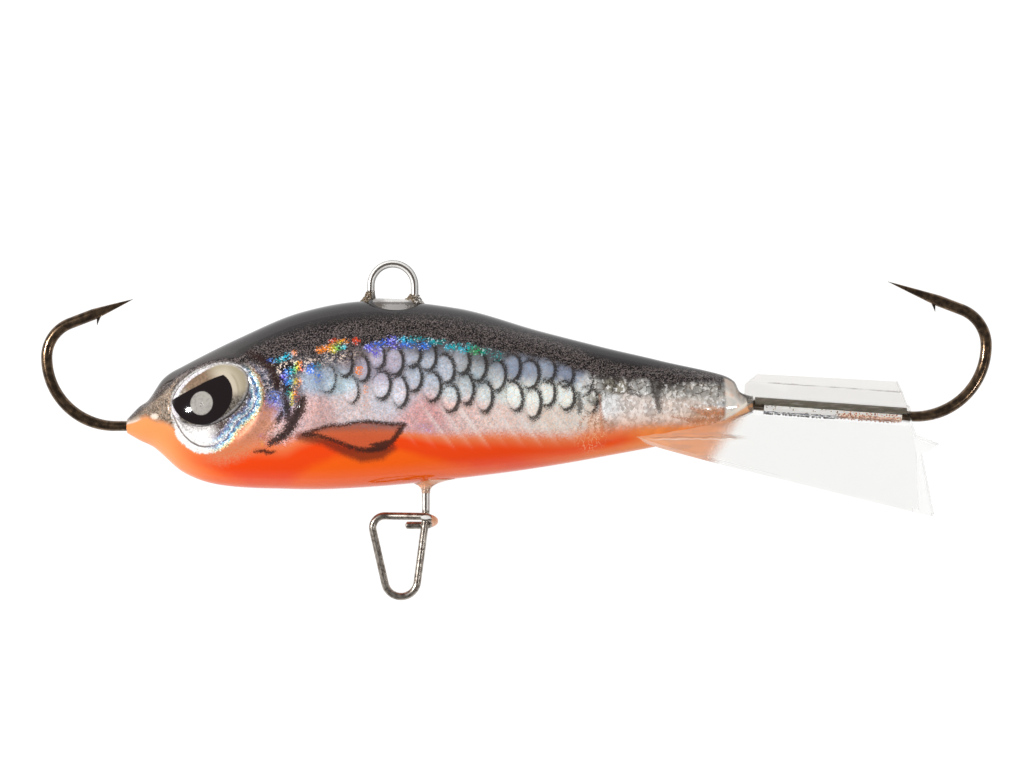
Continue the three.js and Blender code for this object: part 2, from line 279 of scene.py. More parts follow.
class Shader:
    """A material's node tree, written as sums and layers."""

    def __init__(self, name: str) -> None:
        """Starts an empty material.

        Args:
            name: The material's name.
        """
        self.material = bpy.data.materials.new(name)
        self.material.use_nodes = True
        self.tree = self.material.node_tree
        self.tree.nodes.clear()

    def node(self, kind: str, settings: dict | None = None, sockets: dict | None = None) -> bpy.types.Node:
        """Adds any node.

        Args:
            kind: The node's type.
            settings: Its properties, set first.
            sockets: Values or links of its inputs, by name, identifier or number.

        Returns:
            The node.
        """
        node = self.tree.nodes.new(kind)
        for key, setting in (settings or {}).items():
            if key == "stops":
                self._set_stops(node, setting)
            else:
                setattr(node, key, setting)
        for key, given in (sockets or {}).items():
            target = self._input(node, key)
            if isinstance(given, Value):
                self.tree.links.new(given.socket, target)
            else:
                target.default_value = given
        return node

    def value(self, kind: str, settings: dict | None, sockets: dict | None, output: int | str = 0) -> Value:
        """Adds a node and wraps one of its outputs."""
        return Value(self, self.node(kind, settings, sockets).outputs[output])

    @staticmethod
    def _input(node: bpy.types.Node, key: str | int) -> bpy.types.NodeSocket:
        """Finds an input.

        Args:
            node: The node.
            key: The input's number, identifier or name.

        Returns:
            The input.
        """
        if isinstance(key, int):
            return node.inputs[key]
        for socket in node.inputs:
            if socket.identifier == key:
                return socket
        return node.inputs[key]

    @staticmethod
    def _set_stops(node: bpy.types.Node, stops: tuple) -> None:
        """Sets a colour ramp's stops.

        Args:
            node: The ramp.
            stops: Positions and their colours.
        """
        ramp = node.color_ramp
        while len(ramp.elements) < len(stops):
            ramp.elements.new(1.0)
        for element, (position, colour) in zip(ramp.elements, stops):
            element.position = position
            element.color = colour

    def place(self) -> Value:
        """Object coordinates as fish millimetres.

        Returns:
            A vector.
        """
        coordinates = self.value("ShaderNodeTexCoord", None, None, "Object")
        offset = tuple(-level / MM for level in SPACE.origin)
        return self.vector_math("MULTIPLY_ADD", coordinates, (1 / MM,) * 3, offset)

    def vector_math(self, operation: str, *given: Value | Triple) -> Value:
        """Adds a Vector Math node and gives its result."""
        return self.value("ShaderNodeVectorMath", {"operation": operation}, dict(enumerate(given)))

    def stretched(self, place: Value, factors: Triple) -> Value:
        """A place with each of its parts multiplied."""
        return self.vector_math("MULTIPLY", place, factors)

    def warped(self, place: Value, per_mm: float, reach: float) -> Value:
        """A place shifted about by noise.

        Args:
            place: Where, in millimetres.
            per_mm: Waves to the millimetre.
            reach: How far it shifts.

        Returns:
            The shifted place.
        """
        sockets = {"Vector": place, "Scale": per_mm, "Detail": 2.0}
        shift = self.value("ShaderNodeTexNoise", None, sockets, "Color")
        centred = self.vector_math("MULTIPLY_ADD", shift, (reach * 2,) * 3, (-reach,) * 3)
        return self.vector_math("ADD", place, centred)

    def seams(self, place: Value, per_mm: float) -> Value:
        """Distance from the borders of small cells."""
        sockets = {"Vector": place, "Scale": per_mm}
        return self.value("ShaderNodeTexVoronoi", {"feature": "DISTANCE_TO_EDGE"}, sockets)

    def split(self, vector: Value) -> tuple[Value, Value, Value]:
        """A vector's or colour's three parts."""
        node = self.node("ShaderNodeSeparateXYZ", None, {0: vector})
        return tuple(Value(self, output) for output in node.outputs)

    def attribute(self, name: str) -> Value:
        """A number stored on the mesh."""
        return self.value("ShaderNodeAttribute", {"attribute_name": name}, None, "Fac")

    def colour_attribute(self, name: str) -> tuple[Value, Value]:
        """A colour stored on the mesh, and its alpha."""
        node = self.node("ShaderNodeAttribute", {"attribute_name": name})
        return Value(self, node.outputs["Color"]), Value(self, node.outputs["Alpha"])

    def ramp(self, share: Value, stops: tuple[tuple[float, Colour], ...]) -> Value:
        """Reads a colour off a row of stops."""
        return self.value("ShaderNodeValToRGB", {"stops": stops}, {"Fac": share}, "Color")

    def cells(self, place: Value, per_mm: float) -> tuple[Value, Value, Value]:
        """Three random numbers that stay the same over each small cell."""
        sockets = {"Vector": place, "Scale": per_mm}
        return self.split(self.value("ShaderNodeTexVoronoi", {"feature": "F1"}, sockets, "Color"))

    def noise(self, place: Value, per_mm: float, detail: float = 2.0) -> Value:
        """Smooth noise round one half."""
        return self.value("ShaderNodeTexNoise", None, {"Vector": place, "Scale": per_mm, "Detail": detail})

    def layer(self, share: "Value | float", under: Paint, over: Paint, blend: str = "MIX") -> Value:
        """Lays one colour over another.

        Args:
            share: How much of the upper colour shows.
            under: The lower colour.
            over: The upper colour.
            blend: How they mix.

        Returns:
            The colour.
        """
        node = self.node(
            "ShaderNodeMix",
            {"data_type": "RGBA", "blend_type": blend},
            {"Factor_Float": share, "A_Color": under, "B_Color": over},
        )
        return Value(self, next(out for out in node.outputs if out.identifier == "Result_Color"))

    def dimmed(self, colour: Value, level: Value) -> Value:
        """A colour multiplied by a number."""
        grey = self.value("ShaderNodeCombineColor", None, {"Red": level, "Green": level, "Blue": level})
        return self.layer(1.0, colour, grey, "MULTIPLY")

    def bump(self, height: Value, rise_mm: float, strength: float) -> Value:
        """Turns a height from 0 to 1 into a normal."""
        sockets = {"Height": height, "Distance": rise_mm * MM, "Strength": strength}
        return self.value("ShaderNodeBump", None, sockets)

    def surface(self, **sockets: Value | float | Colour) -> Value:
        """A Principled surface, its inputs given by name with underscores for spaces."""
        named = {key.replace("_", " "): given for key, given in sockets.items()}
        return self.value("ShaderNodeBsdfPrincipled", None, named)

    def blend(self, share: Value, first: Value, second: Value) -> Value:
        """Mixes two surfaces."""
        return self.value("ShaderNodeMixShader", None, {0: share, 1: first, 2: second})

    def finish(self, surface: Value) -> bpy.types.Material:
        """Links the surface to the output and gives the material."""
        self.node("ShaderNodeOutputMaterial", None, {"Surface": surface})
        return self.material


@dataclass
class Piece:
    """A finished piece and how the frame knows it."""

    name: str
    mesh: bpy.types.Mesh
    slot: str
    stands_for: tuple[str, ...] = ()

    def register(self) -> bpy.types.Object:
        """Puts the piece into the scene, riding on the jig's one body.

        Returns:
            The object.
        """
        made = bpy.data.objects.new(self.name, self.mesh)
        bpy.context.scene.collection.objects.link(made)
        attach(made, "root")
        if self.stands_for:
            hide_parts(*self.stands_for)
        LOG.info("%s: %d faces", self.name, len(self.mesh.polygons))
        return made


def mesh_from(name: str, points: np.ndarray, faces: Faces, material: bpy.types.Material) -> bpy.types.Mesh:
    """Makes a smooth mesh from fish millimetres.

    Args:
        name: The mesh's name.
        points: Rows of x, y and z.
        faces: Corners of each face.
        material: Its finish.

    Returns:
        The mesh, in the frame's metres.
    """
    mesh = bpy.data.meshes.new(name)
    mesh.from_pydata(SPACE.metres(points).tolist(), [], faces)
    mesh.materials.append(material)
    mesh.shade_smooth()
    mesh.validate()
    return mesh


def store(mesh: bpy.types.Mesh, name: str, values: np.ndarray) -> None:
    """Stores one number, or one colour with its alpha, at each point of a mesh.

    Args:
        mesh: The mesh.
        name: The attribute's name.
        values: One number or four for each point.
    """
    if np.ndim(values) == 1:
        mesh.attributes.new(name, "FLOAT", "POINT").data.foreach_set("value", values.astype(np.float32))
    else:
        colours = values.astype(np.float32).ravel()
        mesh.attributes.new(name, "FLOAT_COLOR", "POINT").data.foreach_set("color", colours)


def carried(mesh: bpy.types.Mesh) -> bpy.types.Object:
    """Puts a mesh into the scene on a helper object, to be given a modifier.

    Args:
        mesh: The mesh.

    Returns:
        The helper.
    """
    carrier = bpy.data.objects.new(mesh.name, mesh)
    bpy.context.scene.collection.objects.link(carrier)
    return carrier


def plain_mesh(carrier: bpy.types.Object, name: str) -> bpy.types.Mesh:
    """Takes what a helper's modifiers make, and removes the helper with its own mesh.

    Args:
        carrier: The helper.
        name: The new mesh's name.

    Returns:
        The plain mesh.
    """
    graph = bpy.context.evaluated_depsgraph_get()
    made = bpy.data.meshes.new_from_object(carrier.evaluated_get(graph))
    used = carrier.data
    bpy.data.objects.remove(carrier)
    bpy.data.meshes.remove(used)
    made.name = name
    return made


def sheet_faces(rows: int, columns: int) -> Faces:
    """Faces of rows of points joined into an open sheet.

    Args:
        rows: How many rows.
        columns: Points in each row.

    Returns:
        The faces.
    """
    return [
        (i * columns + j, i * columns + j + 1, (i + 1) * columns + j + 1, (i + 1) * columns + j)
        for i in range(rows - 1) for j in range(columns - 1)
    ]


def tube_faces(rings: int, sides: int, close_ends: bool = True) -> Faces:
    """Faces of rings of points joined into a tube.

    Args:
        rings: How many rings.
        sides: Points in each ring.
        close_ends: Whether each end gets one face.

    Returns:
        The faces.
    """
    faces = []
    for i in range(rings - 1):
        for j in range(sides):
            k = (j + 1) % sides
            faces.append((i * sides + j, (i + 1) * sides + j, (i + 1) * sides + k, i * sides + k))
    if close_ends:
        faces.append(tuple(range(sides)))
        faces.append(tuple((rings - 1) * sides + j for j in reversed(range(sides))))
    return faces


class Spectral(Enum):
    """Colours of the foil's painted rainbow reflections."""

    RED = srgb(225, 70, 30)
    ORANGE = srgb(255, 140, 40)
    YELLOW = srgb(240, 220, 50)
    GREEN = srgb(40, 205, 90)
    CYAN = srgb(30, 200, 235)
    TEAL = srgb(20, 150, 150)
    BLUE = srgb(60, 120, 235)
    VIOLET = srgb(110, 90, 215)
    PINK = srgb(220, 150, 205)


# Where the foil's rainbow reflections are painted in each colour: place, half length, half height and
# strength.
GLINTS: dict[Spectral, tuple[tuple[float, ...], ...]] = {
    Spectral.RED: (
        (13.97, 2.23, 0.16, 0.23, 0.8), (14.2, 4.51, 0.16, 0.27, 1.0), (16.85, 6.6, 0.31, 0.16, 1.0),
        (18.53, 6.64, 0.23, 0.2, 1.0),
    ),
    Spectral.ORANGE: (
        (11.42, 1.72, 0.16, 0.62, 0.7), (13.66, 5.67, 0.2, 0.16, 1.0), (13.81, 2.58, 0.14, 0.31, 1.0),
        (14.08, 3.33, 0.16, 0.31, 0.9), (14.13, 4.86, 0.16, 0.16, 1.0), (15.8, 5.94, 0.31, 0.2, 1.0),
        (16.39, 6.05, 0.27, 0.2, 1.0), (17.67, 6.64, 0.23, 0.16, 0.9), (18.77, 4.33, 0.23, 0.31, 1.0),
        (19.36, 2.89, 0.2, 0.47, 0.4), (19.36, 1.65, 0.2, 0.62, 0.3),
    ),
    Spectral.YELLOW: (
        (11.14, -1.37, 0.23, 0.23, 0.4), (13.54, 1.81, 0.16, 0.16, 0.9), (13.58, 2.38, 0.12, 0.31, 1.0),
        (13.83, 3.48, 0.16, 0.27, 1.0), (13.95, 4.62, 0.14, 0.27, 1.0), (16.75, 5.97, 0.23, 0.23, 1.0),
        (17.32, 6.52, 0.23, 0.12, 1.0),
    ),
    Spectral.GREEN: (
        (13.39, 2.58, 0.12, 0.31, 0.9), (13.76, 4.45, 0.16, 0.27, 1.0), (17.13, 6.17, 0.27, 0.23, 1.0),
        (27.9, 5.86, 0.39, 0.23, 0.6),
    ),
    Spectral.CYAN: (
        (12.84, 5.32, 0.31, 0.16, 1.0), (13.19, 2.66, 0.16, 0.31, 0.9), (13.29, 5.55, 0.27, 0.16, 1.0),
        (13.48, 4.26, 0.2, 0.27, 1.0), (13.49, 3.55, 0.16, 0.23, 0.9), (17.57, 6.17, 0.16, 0.16, 1.0),
        (22.2, 6.76, 0.31, 0.2, 1.0), (25.72, 6.17, 0.23, 0.2, 0.9), (26.89, 6.02, 0.31, 0.23, 0.9),
    ),
    Spectral.TEAL: (
        (12.43, 5.16, 0.31, 0.16, 0.9), (13.16, 1.41, 0.16, 0.39, 0.6), (15.6, 4.61, 0.23, 0.31, 0.5),
        (22.98, 6.72, 0.47, 0.2, 1.0), (23.68, 6.76, 0.47, 0.16, 1.0), (24.47, 6.56, 0.39, 0.2, 0.9),
        (25.09, 6.6, 0.31, 0.16, 0.9), (26.19, 6.21, 0.47, 0.23, 0.9), (27.43, 6.21, 0.31, 0.23, 0.9),
        (28.61, 5.78, 0.47, 0.23, 0.5), (29.55, 5.47, 0.47, 0.31, 0.4),
    ),
    Spectral.BLUE: (
        (11.81, 5.11, 0.31, 0.16, 0.8), (12.22, 2.11, 0.5, 0.5, 0.6), (13.17, 4.18, 0.23, 0.23, 1.0),
        (13.2, 3.37, 0.23, 0.23, 1.0), (15.13, 4.41, 0.31, 0.31, 0.9), (15.61, 3.83, 0.39, 0.39, 0.4),
        (20.03, 6.25, 0.39, 0.23, 0.9), (20.88, 6.48, 0.39, 0.23, 1.0), (22.6, 6.36, 0.47, 0.23, 1.0),
        (23.85, 6.33, 0.39, 0.27, 1.0),
    ),
    Spectral.VIOLET: (
        (11.1, -0.82, 0.23, 0.2, 0.7), (12.09, 1.6, 0.4, 0.35, 0.5), (12.93, 3.83, 0.23, 0.23, 1.0),
        (19.64, 6.09, 0.31, 0.23, 1.0), (20.19, 5.85, 0.31, 0.31, 0.9), (21.35, 6.6, 0.39, 0.31, 1.0),
        (21.59, 6.25, 0.47, 0.23, 0.6),
    ),
    Spectral.PINK: (
        (23.94, -0.15, 0.94, 0.47, 0.25),
    ),
}


@dataclass(frozen=True)
class FlankArtwork:
    """What is printed and sprayed on each flank, and where the foil's rainbow reflections are painted, as
    fields that the finish reads.
    """

    upper_scales: tuple[Pair, ...] = (
        (17.6, 5.0), (18.9, 4.55), (20.1, 5.5), (21.5, 5.1), (22.85, 5.65), (24.05, 5.5), (25.45, 4.5),
        (26.7, 5.2), (28.0, 4.7), (29.45, 3.95), (30.65, 4.6), (32.05, 4.05), (33.35, 4.55), (34.85, 4.1),
    )
    lower_scales: tuple[Pair, ...] = (
        (18.05, 2.9), (20.5, 3.2), (21.9, 2.75), (22.95, 3.75), (24.4, 3.1), (25.85, 2.2), (27.05, 2.95),
        (28.5, 2.3), (30.85, 2.35), (32.3, 1.8), (33.4, 2.6), (34.85, 2.4), (16.3, 3.7), (36.3, 3.6),
        (36.7, 2.1),
    )
    scale_half: Pair = (0.62, 1.0)
    scale_lean: float = 8.0
    shadow_shift: Pair = (0.15, -0.03)
    bare_scales: tuple[Pair, ...] = ((16.3, 3.7), (18.05, 2.9), (36.3, 3.6), (36.7, 2.1))
    tones: tuple[tuple[float, float, float, Colour], ...] = (
        (15.0, 5.2, 1.2, srgb(104, 112, 124)), (15.6, 3.6, 1.1, srgb(146, 160, 176)),
        (26.3, 2.6, 0.9, srgb(204, 212, 214)), (28.7, 2.5, 0.8, srgb(214, 220, 218)),
        (17.3, 3.2, 0.9, srgb(182, 200, 208)), (15.5, 1.2, 1.2, srgb(204, 168, 164)),
        (18.4, 1.6, 1.2, srgb(222, 206, 206)), (20.5, 4.6, 1.2, srgb(176, 168, 184)),
        (21.2, 2.0, 1.2, srgb(214, 212, 220)), (24.0, 0.9, 1.3, srgb(222, 168, 166)),
        (24.0, 4.2, 1.2, srgb(180, 188, 200)), (27.0, 1.3, 1.2, srgb(238, 204, 196)),
        (30.0, 0.9, 1.2, srgb(240, 214, 204)), (28.0, 3.6, 1.0, srgb(170, 180, 184)),
        (31.0, 2.4, 1.1, srgb(240, 246, 238)), (34.2, 2.4, 1.1, srgb(238, 242, 232)),
        (31.5, 4.6, 1.1, srgb(142, 152, 170)), (35.0, 4.2, 1.0, srgb(134, 144, 164)),
        (34.0, 0.8, 1.0, srgb(238, 220, 206)), (24.0, 6.6, 1.0, srgb(86, 88, 96)),
        (29.0, 5.8, 1.0, srgb(96, 100, 104)), (18.0, 5.6, 1.0, srgb(106, 96, 100)),
        (12.2, 1.6, 0.9, srgb(150, 152, 186)), (12.4, -0.4, 0.9, srgb(206, 172, 168)),
        (11.2, -0.8, 0.6, srgb(184, 140, 136)), (11.3, 3.6, 0.9, srgb(120, 122, 138)),
        (2.4, 1.4, 1.2, srgb(150, 134, 118)),
    )
    back_edge: tuple[Pair, ...] = (
        (0, 0.3), (0.9, 1.15), (1.6, 1.75), (2.6, 2.5), (3.6, 3.3), (4.4, 3.95), (5.4, 4.5), (6.6, 4.95),
        (8.1, 5.2), (9.4, 5.2), (10.2, 5.6), (12.5, 6.3), (15.7, 6.9), (18.8, 7.5), (21.9, 7.75), (25, 7.76),
        (28.2, 7.3), (31.4, 6.7), (34.5, 5.9), (37.7, 4.75), (40.8, 4.3), (43.2, 4.15), (47.6, 3.95),
        (50, 3.9),
    )
    back_fade: tuple[Pair, ...] = (
        (0, 0.5), (3, 0.7), (4.2, 0.18), (8.5, 0.18), (11, 1.6), (15, 2.2), (28, 2.0), (36, 1.7), (40, 0.9),
        (43, 1.1), (50, 0.8),
    )
    belly_edge: tuple[Pair, ...] = (
        (0, 0.2), (0.8, 0.4), (1.35, 0.6), (1.75, 0.68), (2.15, 0.5), (2.6, 0.35), (3.4, 0.2), (4.1, -0.2),
        (4.75, -1.0), (5.6, -1.75), (6.2, -1.95), (7.3, -1.75), (8.8, -1.35), (10.1, -1.2), (11.4, -1.25),
        (13, -1.3), (14.2, -0.8), (15.8, -0.35), (17.7, -0.1), (22.3, -0.46), (25.9, -0.7), (29.8, -0.55),
        (34.5, -0.75), (37.7, -0.4), (40.8, -0.1), (45.6, 0.0), (50, -0.1),
    )
    belly_fade: tuple[Pair, ...] = (
        (0, 0.45), (3.4, 0.4), (6.2, 0.3), (7.6, 0.5), (10, 0.9), (13, 0.8), (16, 0.6), (22, 0.35), (28, 0.7),
        (36, 0.8), (40, 0.6), (50, 0.5),
    )
    pectoral_top: tuple[Triple, ...] = (
        (14.6, -0.55, 0.08), (16.5, 0.05, 0.1), (17.6, 0.1, 0.08), (18.75, 0.35, 0.09), (19.7, 0.35, 0.11),
        (21, 0.2, 0.1), (22.4, 0.12, 0.1),
    )
    pectoral_low: tuple[Triple, ...] = (
        (22.4, 0.1, 0.08), (22.0, -0.32, 0.2), (21.7, -0.78, 0.17), (21.26, -1.3, 0.18), (20.6, -1.7, 0.22),
        (19.6, -1.9, 0.15), (18.7, -1.83, 0.13), (17.8, -1.52, 0.13), (16.85, -1.15, 0.13),
        (15.75, -0.78, 0.12), (14.5, -0.62, 0.16),
    )
    pectoral_wedge: tuple[Triple, ...] = ((19.7, -1.45, 0.04), (20.5, -1.5, 0.26), (21.2, -1.25, 0.2))
    pectoral_shadow: tuple[Triple, ...] = (
        (14.2, -0.8, 0.25), (16.0, -1.2, 0.2), (17.6, -1.9, 0.3), (19.0, -2.3, 0.45), (20.4, -2.15, 0.4),
        (21.4, -1.7, 0.15),
    )
    gill_marks: tuple[tuple[Triple, ...], ...] = (
        ((10.05, 5.75, 0.16), (11.3, 5.1, 0.28), (11.9, 4.45, 0.34), (12.3, 3.6, 0.34), (12.4, 2.9, 0.16)),
        ((14.5, 2.2, 0.22), (14.2, 1.3, 0.42), (13.7, 0.5, 0.42), (13.25, -0.4, 0.36), (12.6, -0.92, 0.3),
         (11.79, -1.35, 0.2)),
        ((13.0, 2.4, 0.16), (13.2, 1.4, 0.3), (13.3, 0.6, 0.26)),
        ((12.79, 1.03, 0.18), (12.45, 0.35, 0.14)),
        ((12.8, 2.4, 0.1), (13.2, 2.9, 0.2), (12.9, 3.1, 0.1)),
    )
    gill_dash: tuple[Triple, ...] = (
        (10.6, -2.0, 0.06), (11.3, -1.96, 0.11), (11.6, -2.1, 0.12), (12.15, -2.02, 0.06),
    )
    tail_marks: tuple[tuple[Triple, ...], ...] = (
        ((42.1, 3.6, 0.55), (42.1, 2.6, 0.4), (42.2, 1.9, 0.2), (42.35, 1.2, 0.16)),
        ((38.5, 4.3, 0.25), (39.0, 3.6, 0.22), (38.7, 2.9, 0.1)),
        ((40.0, 4.2, 0.3), (39.85, 3.2, 0.14), (40.1, 2.6, 0.12), (40.8, 2.35, 0.1)),
        ((35.9, 2.6, 0.1), (36.05, 1.5, 0.25), (36.0, 1.0, 0.12)),
        ((36.3, 3.05, 0.05), (37.2, 2.75, 0.09), (37.7, 2.6, 0.05)),
        ((36.7, 2.0, 0.05), (37.3, 1.7, 0.08), (37.7, 2.0, 0.05)),
        ((47.2, 3.9, 0.12), (47.2, 3.0, 0.1), (47.0, 2.2, 0.04)),
    )
    tail_folds: tuple[tuple[Triple, ...], ...] = (
        ((37.6, 2.4, 0.06), (37.65, 1.2, 0.14), (37.8, -0.4, 0.2)),
        ((37.3, 1.6, 0.05), (36.9, 0.5, 0.12), (36.6, -0.9, 0.05)),
        ((37.3, 1.2, 0.03), (37.3, 0.2, 0.08), (37.2, -1.3, 0.04)),
        ((37.4, 0.9, 0.03), (38.3, 0.1, 0.06), (38.5, -1.0, 0.03)),
        ((36.6, 0.9, 0.03), (36.1, 0.2, 0.06), (35.9, -0.6, 0.03)),
        ((44.8, 1.4, 0.1), (46.2, 0.9, 0.25), (47.6, 1.1, 0.3)),
        ((43.4, 0.7, 0.05), (45.2, 0.35, 0.18), (47.0, 0.5, 0.2)),
    )
    tail_cells: tuple[tuple[float, float, float, float, Colour], ...] = (
        (36.8, 3.2, 0.6, 0.65, srgb(226, 224, 220)), (37.1, 2.2, 0.6, 0.4, srgb(176, 174, 164)),
        (38.9, 3.3, 0.7, 0.6, srgb(146, 140, 126)), (40.9, 3.35, 0.85, 0.65, srgb(196, 194, 190)),
        (44.6, 2.7, 1.6, 0.5, srgb(228, 222, 214)), (46.4, 2.5, 0.9, 0.5, srgb(216, 210, 202)),
        (38.5, 1.55, 0.75, 0.7, srgb(255, 255, 255)), (40.4, 1.4, 1.4, 0.8, srgb(240, 226, 218)),
        (44.0, 1.3, 1.6, 0.7, srgb(238, 220, 208)), (36.6, 0.4, 0.8, 0.8, srgb(246, 226, 210)),
        (40.2, 3.9, 2.4, 0.3, srgb(72, 66, 64)), (43.4, 3.4, 1.0, 0.5, srgb(66, 60, 58)),
        (46.0, 0.8, 1.2, 0.5, srgb(232, 186, 154)),
    )
    dust: tuple[tuple[float, ...], ...] = (
        (11.6, 5.0, 1.2, 0.6, 0.9), (12.9, 4.7, 1.2, 0.8, 0.85), (12.5, 3.5, 0.7, 0.8, 0.85),
        (13.9, 4.6, 0.7, 0.6, 0.6), (13.4, 2.9, 0.6, 0.8, 0.7), (11.6, 2.8, 0.4, 0.8, 0.5),
        (15.3, 5.2, 1.1, 0.6, 0.7), (17.4, 5.5, 1.3, 0.5, 0.7), (14.2, 1.9, 0.6, 0.5, 0.5),
    )
    rib_direction: float = -54.0
    rib_pitch: float = 1.13
    rib_rise: float = 0.88
    scale_seed: int = 11

    def scale_fields(self, x: np.ndarray, y: np.ndarray) -> tuple[np.ndarray, np.ndarray]:
        """Depth inside the scales and inside the dark crescents behind them.

        Args:
            x: Distances along the fish.
            y: Heights.

        Returns:
            Both fields in millimetres, negative outside.
        """
        draws = np.random.default_rng(self.scale_seed)
        cell = np.full(x.shape, -9.0)
        dark = np.full(x.shape, -9.0)
        for sx, sy in self.upper_scales + self.lower_scales:
            size = draws.uniform(0.92, 1.1)
            halves = (self.scale_half[0] * size, self.scale_half[1] * draws.uniform(0.92, 1.12))
            lean = 90 + self.scale_lean * draws.uniform(-0.6, 1.4)
            inner = -from_oval(x, y, (sx, sy), halves[::-1], lean)
            shifted = (sx + self.shadow_shift[0], sy + self.shadow_shift[1])
            outer = -from_oval(x, y, shifted, (halves[1] + 0.2, halves[0] + 0.09), lean)
            thin = 0.1 if (sx, sy) in self.bare_scales else 0.0
            rear = soft_step(x - sx + 0.15 * (y - sy), -0.9, -0.4)
            cell = np.maximum(cell, inner)
            dark = np.maximum(dark, np.minimum(outer, -2.5 * inner) - thin - (1 - rear) * 0.2)
        return cell, dark

    def tone_field(self, x: np.ndarray, y: np.ndarray) -> np.ndarray:
        """The foil's own colour, blended from a few broad tones.

        Args:
            x: Distances along the fish.
            y: Heights.

        Returns:
            Rows of red, green, blue and alpha.
        """
        total = np.full(x.shape, 1e-9)
        colour = np.zeros((len(x), 3))
        for tone_x, tone_y, reach, tone in self.tones:
            near = 1 / (0.15 + ((x - tone_x) ** 2 + (1.5 * (y - tone_y)) ** 2) / reach ** 2) ** 2
            colour += near[:, None] * np.array(tone[:3])
            total += near
        return np.column_stack([colour / total[:, None], np.ones(len(x))])

    def rib_field(self, x: np.ndarray, y: np.ndarray) -> np.ndarray:
        """Ridges pressed slantwise into the rear flank, from 0 between them to 1 on each crest.

        Args:
            x: Distances along the fish.
            y: Heights.

        Returns:
            Shares from 0 to 1.
        """
        turn = math.radians(self.rib_direction)
        across = x * -math.sin(turn) + y * math.cos(turn)
        phase = (across / self.rib_pitch) % 1
        saw = np.where(phase < self.rib_rise, phase / self.rib_rise, (1 - phase) / (1 - self.rib_rise))
        low = -1.9 + 0.04 * (x - 24)
        reach = soft_step(x, 21.5, 25) * (1 - soft_step(x, 35.2, 36.4)) * soft_step(y, low - 0.4, low + 0.9)
        varied = 0.6 + 0.4 * np.sin(across * 2.3 + 1) * np.sin(across * 0.9)
        return saw ** 4 * reach * varied * (1 - soft_step(y, 0.9, 2.3))

    def glow_field(self, x: np.ndarray, y: np.ndarray) -> np.ndarray:
        """The foil's painted rainbow reflections and how strongly each point shows them.

        Args:
            x: Distances along the fish.
            y: Heights.

        Returns:
            Rows of red, green, blue and strength.
        """
        total = np.full(x.shape, 1e-6)
        colour = np.zeros((len(x), 3))
        strength = np.zeros(x.shape)
        for spectral, glints in GLINTS.items():
            for glint_x, glint_y, wide, high, most in glints:
                near = np.exp(-(((x - glint_x) / wide) ** 2 + ((y - glint_y) / high) ** 2) / 1.6)
                colour += near[:, None] * np.array(spectral.value[:3])
                total += near
                strength = np.maximum(strength, near * most)
        return np.column_stack([colour / total[:, None], strength])

    def cell_field(self, x: np.ndarray, y: np.ndarray) -> np.ndarray:
        """The tones that the crumpled foil of the tail shows, each over its own facet.

        Args:
            x: Distances along the fish.
            y: Heights.

        Returns:
            Rows of red, green, blue and alpha.
        """
        plain, grey = 0.02, 0.5
        total = np.full(x.shape, plain)
        colour = np.full((len(x), 3), plain * grey)
        for cell_x, cell_y, wide, high, tone in self.tail_cells:
            near = np.exp(-(((x - cell_x) / wide) ** 2 + ((y - cell_y) / high) ** 2) ** 1.5)
            colour += near[:, None] * np.array(tone[:3])
            total += near
        return np.column_stack([colour / total[:, None], np.ones(len(x))])

    def dust_field(self, x: np.ndarray, y: np.ndarray) -> np.ndarray:
        """How much black dust lies on the foil round the gill cover.

        Args:
            x: Distances along the fish.
            y: Heights.

        Returns:
            Shares from 0 to 1.
        """
        dust = np.zeros(x.shape)
        for cloud_x, cloud_y, wide, high, share in self.dust:
            away = ((x - cloud_x) / wide) ** 2 + ((y - cloud_y) / high) ** 2
            dust = 1 - (1 - dust) * (1 - share * np.exp(-away))
        return dust

    def fields(self, x: np.ndarray, y: np.ndarray) -> dict[str, np.ndarray]:
        """All that the finish reads, at each point.

        Args:
            x: Distances along the fish.
            y: Heights.

        Returns:
            Values by attribute name.
        """
        cell, crescent = self.scale_fields(x, y)
        back = (y - smooth_curve(self.back_edge, x)) / np.interp(x, *np.array(self.back_fade).T)
        belly = (smooth_curve(self.belly_edge, x) - y) / np.interp(x, *np.array(self.belly_fade).T)
        outline = tuple((px, py) for px, py, _ in self.pectoral_top + self.pectoral_low[1:])
        strokes = (self.pectoral_top, self.pectoral_low, self.pectoral_wedge, self.gill_dash)

        def deepest(marks: tuple) -> np.ndarray:
            """The depth inside any of several strokes."""
            return np.maximum(np.maximum.reduce([inside_stroke(x, y, mark) for mark in marks]), -2)

        return {
            "back_paint": np.clip(back, -9, 9),
            "belly_paint": np.clip(belly, -9, 9),
            "scale_cell": np.maximum(cell, -2),
            "scale_shadow": np.maximum(crescent, -2),
            "pectoral": np.maximum(inside_outline(x, y, outline), -2),
            "drawn": deepest(strokes),
            "pectoral_shadow": deepest((self.pectoral_shadow,)),
            "gill_marks": deepest(self.gill_marks),
            "tail_marks": deepest(self.tail_marks),
            "tail_folds": deepest(self.tail_folds),
            "ribs": self.rib_field(x, y),
            "glow": self.glow_field(x, y),
            "tone": self.tone_field(x, y),
            "dust": self.dust_field(x, y),
            "cells": self.cell_field(x, y),
        }


@dataclass(frozen=True)
class EyeSeat:
    """Where the domed eyes and the ring round each lie."""

    x: float = 7.05
    y: float = 2.42
    long: float = 3.36
    short: float = 2.2
    tilt: float = 25.0
    seat: float = 0.5
    crown: float = 0.34
    ring_centre: Pair = (7.45, 1.83)
    ring_halves: Pair = (3.85, 3.6)
    ring_height: float = 0.15
    ring_width: float = 0.45
    crease_depth: float = 0.13
    lip_height: float = 0.08
    # How far the ring's bright foil is drawn in, at which bearing, over how many degrees.
    drawn_in: tuple[Triple, ...] = ((0.9, -42, 30), (-0.26, -112, 24))


EYE_SEAT = EyeSeat()


